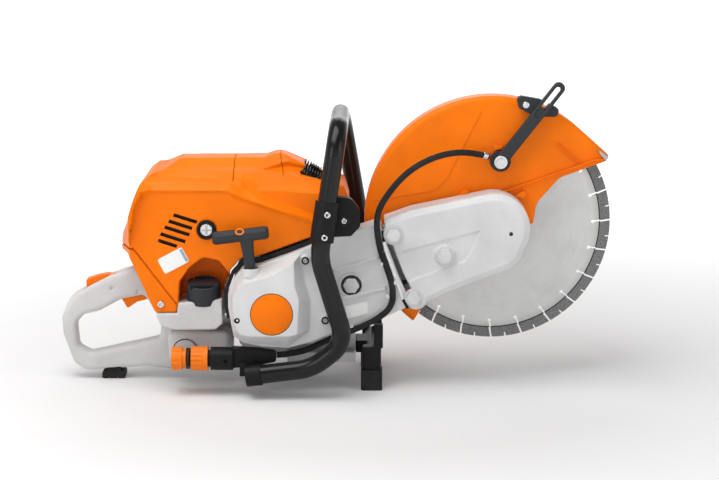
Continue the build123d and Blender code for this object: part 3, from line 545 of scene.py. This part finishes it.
# Half-width along x.
SHROUD_PLAN = [(-543, 34), (-524, SHROUD_HALF), (-262, SHROUD_HALF), (-209, 44)]
# Half-width up z in the CAD form, and the plane that cuts its upper corner:
# a point on it, and its normal's x, z and y.
SHROUD_SECTION = [(60, SHROUD_HALF), (71, 79), (85, 49), (97, 22), (130, 14)]
CORNER_AT = (-384, 60)
CORNER_NORMAL = (3100, 7874, 8255)
# Heights along x of the lines that the creased side turns at, from the lowest up.
SHROUD_CREASE = [(-523, -24), (-521, 2), (-514, 29), (-503, 50), (-492, 57), (-383, 57),
                 (-370, 46), (-332, 35), (-296, 24), (-263, 12), (-240, -4)]
SHROUD_SHELF = [(-523, -10), (-514, 40), (-503, 60), (-490, 66), (-380, 69), (-362, 66),
                (-342, 49), (-299, 30), (-263, 18), (-240, 2)]
SHROUD_BROW = [(-523, 60), (-500, 68), (-385, 69), (-362, 66.5), (-342, 58), (-300, 57),
               (-209, 50)]
SHROUD_EAVES = [(-523, 66), (-503, 72), (-485, 79), (-419, 83), (-347, 82), (-297, 77),
                (-242, 62), (-209, 52)]
# Only the outer part of the width moves, and only above the foot, each fading in.
SIDE_FROM, SIDE_OVER = 0.3, 0.5
FOOT, FOOT_FADE = -30, 20


def plain_depth(x, z):
    """Half-width of the shroud's CAD form at (x, z)."""
    nx, nz, ny = CORNER_NORMAL
    corner = SHROUD_HALF - (nx * (x - CORNER_AT[0]) + nz * (z - CORNER_AT[1])) / ny
    return max(THINNEST, min(between(z, SHROUD_SECTION), corner, between(x, SHROUD_PLAN)))


def creased_depth(x, z):
    """Half-width with the flat side, the bright ledge over it, the brow and the crowned top."""
    crease = between(x, SHROUD_CREASE)
    shelf = max(between(x, SHROUD_SHELF), crease + 3)
    brow = max(between(x, SHROUD_BROW), shelf + 2)
    eaves = max(between(x, SHROUD_EAVES), brow + 8)
    table = [(crease, SHROUD_HALF), (shelf, 81), (brow, 79.5), (brow + 4, 73),
             (eaves, 62), (eaves + 5, 45), (eaves + 16, 20)]
    return max(THINNEST, min(between(z, table), between(x, SHROUD_PLAN)))


def crease_shroud(mesh):
    """Moves the shroud's side walls in and out to its creases, wall thickness and all."""
    for vertex in mesh.vertices:
        x, y, z = (vertex.co - SPINDLE) / MM
        plain = plain_depth(x, z)
        share = min(1, max(0, (abs(y) / plain - SIDE_FROM) / SIDE_OVER))
        move = (creased_depth(x, z) - plain) * share * share * (3 - 2 * share)
        if z > FOOT:
            vertex.co.y += math.copysign(move, y) * MM * min(1, (z - FOOT) / FOOT_FADE)


# Vents in the near side: middle x and z, and half the length.
VENTS = [(-443, 19, 17.5), (-450, 10, 17.5), (-455, 1, 18.5), (-461, -9, 18.5), (-469, -17, 14)]
VENT_LEAN = 18
SLOPE_LEAN = 29                     # the front slope of the shroud, in degrees


def fill_vents(bm):
    """Closes the CAD's vents, so that they can be cut again after the rounding."""
    for x, z, half in VENTS:
        box_mesh(bm, at(x - half - 4, -SHROUD_HALF, z - 6), at(x + half + 4, -89, z + 6),
                 VENT_LEAN)


def shroud_tool():
    """Everything cut crisply out of the rounded shroud: vents, air opening and panel seams."""
    def build(bm):
        for x, z, half in VENTS:
            box_mesh(bm, at(x - half, -100, z - 2.7), at(x + half, -84, z + 2.7), VENT_LEAN)
        box_mesh(bm, at(-274, -46, 56), at(-245, 46, 104), SLOPE_LEAN)
        box_mesh(bm, at(-375.4, -100, 70.5), at(-374.6, 100, 130))
        box_mesh(bm, at(-309.5, -100, 76), at(-308.7, 100, 130), -12)

    return tool_object(build)


def housing_ledges(bm):
    """Two low cast ledges across the drive housing's near face, each with a bend in it."""
    for (x0, z0), (x1, z1) in (((-230, -59), (-204, -51)), ((-204, -51), (-168, -40)),
                               ((-218, -100), (-188, -93)), ((-188, -93), (-157, -85))):
        half = math.hypot(x1 - x0, z1 - z0) / 2 + 1
        x, z = (x0 + x1) / 2, (z0 + z1) / 2
        lean = -math.degrees(math.atan2(z1 - z0, x1 - x0))
        box_mesh(bm, at(x - half, -81.4, z - 2.4), at(x + half, -75, z + 2.4), lean)


def button_pocket():
    """Room round the stop button, cut square after the handle is rounded."""
    low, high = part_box("stop_button")
    room = Vector((0.5, 4.0, 0.5)) * MM
    return tool_object(lambda bm: box_mesh(bm, Vector(low) - room, Vector(high) + room))


soften("shroud_cover", 2.0, 6, extra=fill_vents, reshape=crease_shroud, cut=shroud_tool)
soften("rear_shroud", 1.6, 5)
soften("starter_cover", 1.1, 3)
soften("drive_housing", 1.3, 3, extra=housing_ledges)
soften("front_stand", 1.2, 4)
soften("rear_handle", 1.7, 7, cut=button_pocket)


# The slats stop short of the decompression valve, which stands in the middle of the opening.
VALVE_LOW, VALVE_HIGH = ((place[1] - SPINDLE.y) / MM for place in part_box("decompression_valve"))
SLAT_RUNS = ((-46.5, VALVE_LOW - 2), (VALVE_HIGH + 2, 46.5))
SLATS = 8
SLAT_PITCH = 4.2


def air_grille():
    """Dark slats across the opening in the shroud's front slope, just under its surface, on a black plate that is
    painted shade for the space under them.
    """
    lean = math.radians(SLOPE_LEAN)
    out = Vector((math.sin(lean), math.cos(lean)))
    down = Vector((out.y, -out.x))
    middle = Vector((-259.5, 79))
    bm = bmesh.new()
    # Black plate under the slats: painted shade that closes the opening where the inside would be dark.
    x, z = middle - out * 9
    for near, far in SLAT_RUNS:
        box_mesh(bm, at(x - 18, near, z - 1.5), at(x + 18, far, z + 1.5), SLOPE_LEAN)
    for i in range(SLATS):
        x, z = middle - out * 4.6 + down * (-14.7 + SLAT_PITCH * i)
        for near, far in SLAT_RUNS:
            box_mesh(bm, at(x - 0.8, near, z - 4), at(x + 0.8, far, z + 4), SLOPE_LEAN)
    bmesh.ops.bevel(bm, geom=bm.edges, offset=0.4 * MM, segments=1, affect="EDGES")
    add_piece("air_grille", mesh_from(bm, "air_grille"), "black_plastic", "machine", smooth=False)


air_grille()


# ---------- belt cover ----------
COVER_FACE = -80.0
NOSE_RADIUS = 52
NOSE_FROM, NOSE_SWEEP, NOSE_STEPS = -30, 131, 32
# The rest of the outline; the four corners from the second on lie along the seam.
COVER_TAIL = [(-120, 28), (-159, 14), (-149, -18), (-132, -62), (-107, -112), (-62, -90),
              (24, -57), (38, -44)]
SEAM_CORNERS = range(1, 5)
SEAM_INSET = 2                      # the seam side is drawn in by no more than this
SEAM_OUT = (-0.925, -0.38)
# Bosses over the arm nuts: x, z, how far out they stand and their top radius.
NUT_BOSSES = ((-145, -6, -80.8, 14), (-112, -101, -80.8, 14), (-71, -36, -83, 13.5))
BOSS_RADIUS = 17


def cover_outline(inset):
    """The outline drawn in by inset: round about the spindle and straight back to the seam."""
    nose = NOSE_RADIUS - inset
    points = []
    for i in range(NOSE_STEPS + 1):
        angle = math.radians(NOSE_FROM + NOSE_SWEEP * i / NOSE_STEPS)
        points.append((nose * math.cos(angle), nose * math.sin(angle)))
    line = [points[-1], *COVER_TAIL, points[0]]
    for i, (before, (x, z), after) in enumerate(zip(line, line[1:], line[2:])):
        across = Vector((after[0] - before[0], after[1] - before[1])).normalized()
        x, z = x - across.y * inset, z + across.x * inset
        spill = max(0, inset - SEAM_INSET) if i in SEAM_CORNERS else 0
        points.append((x + SEAM_OUT[0] * spill, z + SEAM_OUT[1] * spill))
    return points


def round_bar(bm, x, z, radius, y0, y1, top=None):
    """Round boss in the side view from y0 to y1, narrowing to the top radius."""
    def loop(r):
        angles = [math.pi * i / 20 for i in range(40)]
        return [(x + r * math.cos(angle), z + r * math.sin(angle)) for angle in angles]

    prism(bm, [(loop(radius), y0), (loop(top or radius), y1)])


def belt_cover_form():
    """The arm's cast cover: bevelled rim, a sunken wedge panel and a boss for each nut."""
    def outer(bm):
        rim = cover_outline(0)
        prism(bm, [(rim, -48.2), (rim, -73.5), (cover_outline(9), COVER_FACE)])

    def cavity(bm):
        rim = cover_outline(4)
        prism(bm, [(rim, -40), (rim, -68.5), (cover_outline(12), -74.8)])

    def panel(bm):
        top = [(-175, -40), (-16, 2), (-25, -22), (-38, -48), (-136, -84), (-175, -98)]
        bottom = [(-175, -44), (-22, -2), (-29, -22), (-41, -44), (-138, -79), (-175, -93)]
        prism(bm, [(top, -84), (bottom, -77.6)])

    def weep_hole(bm):
        round_bar(bm, 24, -6, 3, -70, -90)

    draft = tool_object(outer)
    for cut in (cavity, panel, weep_hole):
        carve_out(draft, tool_object(cut))
    bm = bmesh.new()
    bm.from_mesh(draft.data)
    for x, z, out, top in NUT_BOSSES:
        round_bar(bm, x, z, BOSS_RADIUS, -76, out, top)
    bm.to_mesh(draft.data)
    bm.free()
    round_off(draft, 1.1, 3)
    stand_for(draft, "belt_cover")


belt_cover_form()


# ---------- hoses and the starter rope ----------
HOSE_RADIUS = 4.5
LOWER_HOSE = [
    (-313, -100, -179),
    (-279, -98, -177),
    (-247, -91, -162),
    (-212, -85, -149),
    (-176, -84.6, -135),
    (-147, -84.6, -113),
    (-145, -84.6, -84),
    (-155.5, -84.6, -51),
    (-166, -84.6, -24),
    (-168.5, -84.6, 0),
]
UPPER_HOSE = [
    (-168.5, -84.6, 0),
    (-170.79, -84.6, 22),
    (-155, -84, 52),
    (-128, -80, 83),
    (-95, -72, 102),
    (-61, -60, 110),
    (-30, -47, 108),
    (-7, -38.5, 101),
]
ROPE_EXIT = Vector((-349, -118, -52))
PULL_AXIS = Vector(JOINTS["starter_pull"]["axis"]).normalized()
ROPE_RADIUS = 2.2
# The rope is straight from below its exit to inside the grip, in close rings.
ROPE_BELOW, ROPE_ABOVE = 6, 8
ROPE_RINGS = 70


def smooth_line(route, steps=12):
    """Points along a route's smooth line: a NURBS spline with the route as its control points."""
    data = bpy.data.curves.new("line", "CURVE")
    data.dimensions = "3D"
    data.resolution_u = steps
    spline = data.splines.new("NURBS")
    spline.points.add(len(route) - 1)
    for point, place in zip(spline.points, route):
        point.co = (*at(*place), 1)
    spline.order_u = 3
    spline.use_endpoint_u = True
    line = place_object("line", data)
    mesh = bpy.data.meshes.new_from_object(line)
    points = [vertex.co.copy() for vertex in mesh.vertices]
    bpy.data.objects.remove(line)
    return points


def tube_mesh(name, points, radius, steps=16):
    """Closed round tube along points, its rings turned as little as they can be."""
    side = None
    rings = []
    for i, point in enumerate(points):
        along = (points[min(i + 1, len(points) - 1)] - points[max(i - 1, 0)]).normalized()
        side = along.orthogonal() if side is None else side - along * side.dot(along)
        side.normalize()
        up = along.cross(side)
        angles = [2 * math.pi * k / steps for k in range(steps)]
        rings.append([point + (side * math.cos(angle) + up * math.sin(angle)) * radius * MM
                      for angle in angles])
    bm = bmesh.new()
    closed_solid(bm, rings)
    return mesh_from(bm, name)


def hoses():
    """The lower hose, fixed to the machine, and the upper one, which is left on no body."""
    lower = smooth_line(LOWER_HOSE)
    piece = add_piece("water_hose_lower", tube_mesh("water_hose_lower", lower, HOSE_RADIUS),
                      "rubber", "machine")
    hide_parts("lower_hose")
    upper = smooth_line(UPPER_HOSE)
    piece = add_piece("water_hose_upper", tube_mesh("water_hose_upper", upper, HOSE_RADIUS),
                      "rubber", None)
    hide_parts("upper_hose")
    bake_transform(piece)


def starter_rope():
    """Rope from the rotor up to the exit, and close rings along its straight end in the grip."""
    start = ROPE_EXIT - PULL_AXIS * ROPE_BELOW
    rotor_edge = (CRANK[0] - 28.5, -106, CRANK[1] + 10)
    inside = smooth_line([rotor_edge, (-347.5, -118, -66), tuple(start)])
    length = ROPE_BELOW + ROPE_ABOVE
    straight = [at(*(start + PULL_AXIS * (length * i / ROPE_RINGS)))
                for i in range(1, ROPE_RINGS + 1)]
    points = inside + straight
    piece = add_piece("pull_rope", tube_mesh("pull_rope", points, ROPE_RADIUS, 12),
                      "rope_nylon", None)
    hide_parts("starter_rope")
    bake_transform(piece)


hoses()
starter_rope()


# ---------- starter grip ----------
GRIP_REACH = 50                     # from the rope's exit up to the middle of the bar
# Corners of the bar's section as y and z, and its size along its length as x and share.
GRIP_FACETS = [(-11, -4), (-11, 3.5), (-3, 9), (3, 9), (11, 3.5), (11, -4), (6, -9), (-6, -9)]
GRIP_ENDS = [(-48, 0.78), (-45, 0.95), (-42, 1.0), (-8, 0.94), (26, 1.0), (29, 0.95), (32, 0.78)]
# Half-width of the stem up its height, as z and half.
GRIP_STEM = ((-49.8, 7.6), (-46, 7.6), (-20, 8.2), (-6, 9.5), (0, 12))


def grip_place(x, y, z):
    """A place in the grip's own frame, as a point in the frame in metres."""
    side = Vector((PULL_AXIS.z, 0, -PULL_AXIS.x))
    return at(*(ROPE_EXIT + side * x + Vector((0, y, 0)) + PULL_AXIS * (z + GRIP_REACH)))


def starter_grip_form():
    """Faceted T-grip: an eight-sided bar and a stem that narrows towards the rope."""
    def build(bm):
        closed_solid(bm, [[grip_place(x, y * share, 3 + z * share) for y, z in GRIP_FACETS]
                          for x, share in GRIP_ENDS])
        sections = []
        for z, half in GRIP_STEM:
            flat = half - half * 0.35
            corners = [(-half, -flat), (-half, flat), (-flat, half), (flat, half),
                       (half, flat), (half, -flat), (flat, -half), (-flat, -half)]
            sections.append([grip_place(x, y * 0.95, z) for x, y in corners])
        closed_solid(bm, sections)

    draft = tool_object(build)
    round_off(draft, 0.7, 3)
    stand_for(draft, "starter_grip")
    facet = Vector((0, -0.57, 0.82))
    profile = [(4.2, -0.3), (6.6, -0.3), (6.6, 0.5), (6.1, 0.8), (4.7, 0.8), (4.2, 0.5)]
    lathe("grip_ring", profile, grip_place(-8, -6.5, 9.1), facet, "orange_gloss", "pull_grip")


starter_grip_form()


# ---------- screws, rings and small trim ----------
def screw(name, x, y, z, radius, slot="zinc_screw", body="machine", direction=(0, -1, 0)):
    """Domed cap screw with a round socket."""
    profile = [(0, 0), (radius, 0), (radius, radius * 0.35), (radius * 0.86, radius * 0.6),
               (radius * 0.5, radius * 0.68), (radius * 0.46, radius * 0.2), (0, radius * 0.15)]
    return lathe(name, profile, at(x, y, z), direction, slot, body, 32)


def ring(name, x, y, z, inner, outer, height, slot, body="machine", direction=(0, -1, 0)):
    """Raised ring with rounded shoulders."""
    soft = min(height, outer - inner) * 0.3
    profile = [(inner, 0), (outer, 0), (outer, height - soft), (outer - soft, height),
               (inner + soft, height), (inner, height - soft)]
    return lathe(name, profile, at(x, y, z), direction, slot, body, 64)


def strip(name, points, width, y_back, y_front, slot, body, bevel=0.3):
    """Thin strip that follows a line of points in the side view."""
    left, right = [], []
    for i, (x, z) in enumerate(points):
        ax, az = points[max(i - 1, 0)]
        bx, bz = points[min(i + 1, len(points) - 1)]
        across = Vector((-(bz - az), bx - ax)).normalized() * width / 2
        left.append((x + across.x, z + across.y))
        right.append((x - across.x, z - across.y))
    return plate(name, left + right[::-1], y_back, y_front, slot, body, bevel)


def handle_trim():
    """Clamp screws on the front handle and on its lobed plate."""
    screw("clamp_screw_upper", -239, -149, 34, 4.6)
    screw("clamp_screw_lower", -243, -151, 2, 4.6)
    ring("clamp_lobe_ring", -216, -115.8, 20, 5.6, 8.2, 1.2, "black_tube")
    screw("clamp_lobe_screw", -216, -115.8, 20, 4.4)
    screw("arm_bolt_upper", -192, -70, -2, 3.2)
    screw("arm_bolt_rear", -197, -72, 6, 3.2)


BADGE_BACK = -133.4
BADGE_RADIUS = 29.6


def starter_trim():
    """Badge disc, dark screw sockets and the cover's vent hole."""
    badge = [(0, 0), (BADGE_RADIUS, 0), (BADGE_RADIUS, 0.5), (29, 0.9), (0, 1.0)]
    lathe("badge_disc", badge, at(CRANK[0], BADGE_BACK, CRANK[1]), (0, -1, 0),
          "orange_plastic", "machine", 96)
    ring("badge_rim", CRANK[0], BADGE_BACK, CRANK[1], BADGE_RADIUS, 30.6, 0.6, "black_plastic")
    for i, (x, z) in enumerate(((-271, -37), (-243, -124))):
        ring(f"house_screw_ring_{i + 1}", x, -118.9, z, 3.4, 5.6, 0.9, "black_plastic")
        screw(f"house_screw_socket_{i + 1}", x, -119.2, z, 3.3, "machined_steel")
    ring("cover_hole_rim", -368, -131, -121, 1.6, 4.6, 3.2, "black_plastic")


def knob_trim():
    """The shroud knob's black collar and the cross in its metal face."""
    ring("shroud_knob_collar", KNOB[0], -91.8, KNOB[1], 9.4, 14, 4.4, "black_plastic")
    x, z = KNOB
    for i, (wide, high) in enumerate(((6.2, 1.3), (1.3, 6.2))):
        corners = [(x + wide, z + high), (x - wide, z + high), (x - wide, z - high),
                   (x + wide, z - high)]
        plate(f"shroud_knob_bar_{i + 1}", corners, -94.8, -96.4 - 0.05 * i, "machined_steel",
              "machine")
    screw("shroud_rear_screw", -480, -92.2, -106, 3.0, "machined_steel")


LABEL_LEAN = 28


def labels():
    """Blank labels where the real machine has printed ones, with nothing on them."""
    plate("shroud_label", rounded(-461, -42, 40, 24, 3, LABEL_LEAN), -91.0, -92.6,
          "label_film", "machine", 0.15)
    plate("shroud_label_strip", rounded(-446, -34, 4, 20, 0.8, LABEL_LEAN), -92.0, -92.9,
          "label_strip", "machine", 0.1)
    plate("housing_label", [(-214, -112), (-183, -104), (-181, -122), (-213, -131)], -77.6, -79.9,
          "label_film", "machine", 0.15)


def housing_trim():
    """Tension nut rings, the inner black one painted shade in the gap round the nut, the metal seam strip beside
    the hose and the casting's round boss.
    """
    # Black ring in the gap round the tension nut: painted shade for the dark gap.
    ring("tension_gap_painted_shade", TENSION[0], -79.0, TENSION[1], 12.4, 14.2, 0.9, "black_plastic")
    ring("tension_ring_cast", TENSION[0], -78.2, TENSION[1], 15.4, 17.6, 2.0, "grey_paint")
    seam = [(-160, -1), (-159, -17), (-156, -31), (-145, -62), (-136, -87), (-131, -102),
            (-124, -115)]
    strip("seam_strip", seam[1:-1], 4.2, -71, -79, "zinc_screw", "machine")
    strip("seam_strip_top", seam[:2], 4.4, -71, -79.4, "black_plastic", "machine")
    strip("seam_strip_foot", seam[-2:], 4.4, -71, -79.4, "black_plastic", "machine")
    ring("boss_ring", -449, -60.6, -183, 17.2, 18.4, 0.9, "black_plastic")
    for i, x in enumerate((-440.2, -443.2)):
        ring(f"coupling_ring_{i + 1}", x, -105, -183, 12, 15.6, 2.4, "black_tube",
             direction=(1, 0, 0))


def guard_trim():
    """Rib and fold lines, tip plate, hook, clips, lever bar and hose ferrule of the guard."""
    strip("guard_rib", [(-19, 42), (18, 49), (83, 71.5), (147, 94), (162, 95)], 2.2, -23, -30.2,
          "orange_guard", "guard_set")
    strip("guard_fold", [(95, 118), (110, 103), (127, 90)], 1.6, -23, -29.2,
          "orange_guard", "guard_set")
    plate("guard_tip_plate", [(152, 110), (168, 99), (164, 93), (156, 102)], -20, -29.4,
          "machined_steel", "guard_set")
    plate("guard_hook", [(0, 117), (14, 115), (12, 111), (2, 109)], -22, -33,
          "orange_guard", "guard_set", 0.6)
    plate("guard_clip_rear", [(-52, 38), (-40, 52), (-35, 49), (-34, 40)], -22, -34,
          "orange_guard", "guard_set", 0.8)
    plate("guard_clip_front", [(32, 41), (44, 50), (50, 46), (46, 38)], -22, -32,
          "orange_guard", "guard_set", 0.8)
    strip("guard_lever_bar", [(36, 128), (70, 172)], 14, -36, -45.5,
          "slate_plastic", "guard_set", 2.0)
    tail, tip = Vector((-16, -42.0, 104.2)), Vector((-6.5, -38.4, 100.8))
    profile = [(4.6, 0), (5.6, 0.6), (5.6, 3), (5.0, 3.8), (5.6, 4.6), (5.6, 8.4), (4.6, 9)]
    lathe("hose_ferrule", profile, at(*tail), tip - tail, "zinc_screw", "guard_set", 40)


# Cast teeth beside the lower hose: x, z and the hose's lean there.
TEETH = ((-166, -30, 70), (-158, -50, 70), (-147, -75, 84), (-149, -95, 100), (-178, -134, 25),
         (-204, -144, 22))


def hose_teeth():
    """Six small cast teeth that hold the lower hose on the housing, on its two sides in turn."""
    for i, (x, z, lean) in enumerate(TEETH):
        side = 1 if i % 2 else -1
        reach = Vector((-math.sin(math.radians(lean)), math.cos(math.radians(lean)))) * side * 4.2
        plate(f"hose_tooth_{i + 1}", rounded(x + reach.x, z + reach.y, 6, 3.6, 1.4, lean), -76, -88,
              "grey_paint", "machine", 0.5)


def backing():
    """A black sheet behind the vents, painted shade for the dark space inside them, and an orange lap behind each
    side's rear seam.
    """
    # Black sheet behind the vents: painted shade where the shroud's inside would be dark.
    plate("vent_painted_shade", rounded(-456, 1, 56, 62, 4, VENT_LEAN), -86.2, -87.8,
          "black_plastic", "machine", 0.3)
    for name, near in (("near", -88.4), ("far", 88.4)):
        strip(f"rear_seam_lap_{name}", [(-517, -27), (-498, -52), (-460, -102), (-456, -108)], 9,
              near - math.copysign(2, near), near, "orange_plastic", "machine")


handle_trim()
starter_trim()
knob_trim()
labels()
housing_trim()
guard_trim()
hose_teeth()
backing()


# ---------- camera, light and floor ----------
VIEW_ELEVATION = 10.5
VIEW_DISTANCE = 3.0
FOCAL_PX = 2030.0
FRAME_PX = 719.0
SENSOR = 36
# Softboxes: place, side and power, and the point that each is turned to.
SOFTBOXES = (
    ("top_softbox", (-0.5, -0.5, 2.0), 1.6, 34, (-0.1, 0, 0.1)),
    ("front_softbox", (-1.9, -2.4, 1.3), 1.3, 14, (-0.1, 0, 0.2)),
    ("right_softbox", (2.2, -1.2, 1.0), 1.2, 6, (0.1, 0, 0.2)),
    ("back_softbox", (0.3, 2.4, 1.6), 1.8, 12, (0, 0, 0.2)),
)


def camera_and_light():
    """The camera at the near side, a little above, four softboxes and the walls."""
    lean = math.radians(VIEW_ELEVATION)
    target = at(-194, 0, -29)
    back = Vector((0, -math.cos(lean), math.sin(lean)))
    data = bpy.data.cameras.new("view")
    data.sensor_width = SENSOR
    data.lens = SENSOR * FOCAL_PX / FRAME_PX
    camera = place_object("view", data)
    camera.location = target + back * VIEW_DISTANCE
    camera.rotation_euler = (-back).to_track_quat("-Z", "Y").to_euler()
    bpy.context.scene.camera = camera
    for name, spot, size, power, aim in SOFTBOXES:
        light = bpy.data.lights.new(name, "AREA")
        light.size = size
        light.energy = power
        lamp = place_object(name, light)
        lamp.location = spot
        lamp.rotation_euler = (Vector(aim) - Vector(spot)).to_track_quat("-Z", "Y").to_euler()
    bpy.context.scene.world = studio_walls()
    bpy.context.scene.view_settings.view_transform = "Standard"


def studio_walls():
    """Pale round the horizon and darker overhead, as in a light tent."""
    world = bpy.data.worlds.new("studio")
    world.use_nodes = True
    tree = world.node_tree
    coords = tree.nodes.new("ShaderNodeTexCoord")
    split = tree.nodes.new("ShaderNodeSeparateXYZ")
    link(tree, coords.outputs["Generated"], split.inputs[0])
    level = remap(tree, split.outputs["Z"], 0.8, 0.25, 0.05, 0.6)
    tone = mix(tree, level, (0, 0, 0), (1, 1, 1))
    link(tree, tone, tree.nodes["Background"].inputs["Color"])
    tree.nodes["Background"].inputs["Strength"].default_value = 1.0
    return world


FLOOR_SIZE = 30
SHADE_SHIFT = (0.16, 0.0, 0.2)      # moves the middle of the painted shade, where the floor glows least, back and down from the spindle


def floor():
    """Pale floor that glows more with distance: a painted glow whitens the far floor, and where it glows least,
    round the saw, it leaves a painted shade over the saw's own cast shade.
    """
    bm = bmesh.new()
    bmesh.ops.create_grid(bm, x_segments=8, y_segments=8, size=FLOOR_SIZE)
    mesh = mesh_from(bm, "floor")
    material, tree, shader = new_material("pale_floor")
    vector = place_vector(tree)
    speck = noise(tree, vector, 3, 3)
    tone = mix(tree, speck, (0.80, 0.80, 0.80), (0.84, 0.84, 0.84))
    link(tree, tone, shader.inputs["Base Color"])
    shader.inputs["Roughness"].default_value = 0.7
    shader.inputs["Specular IOR Level"].default_value = 0.1
    offset = tree.nodes.new("ShaderNodeVectorMath")
    offset.operation = "ADD"
    offset.inputs[1].default_value = SHADE_SHIFT
    link(tree, vector, offset.inputs[0])
    reach = length_of(tree, offset.outputs[0])
    # Emission grows from the saw outwards: a painted glow on the far floor and painted shade round the saw.
    near = remap(tree, reach, 0.0, 0.55, 0.4, 1.5)
    glow = maths(tree, "ADD", near, remap(tree, reach, 0.0, 0.6, 1.5, 5.0))
    shader.inputs["Emission Color"].default_value = (1, 1, 1, 1)
    link(tree, glow, shader.inputs["Emission Strength"])
    mesh.materials.append(material)
    place_object("floor", mesh)


camera_and_light()
floor()
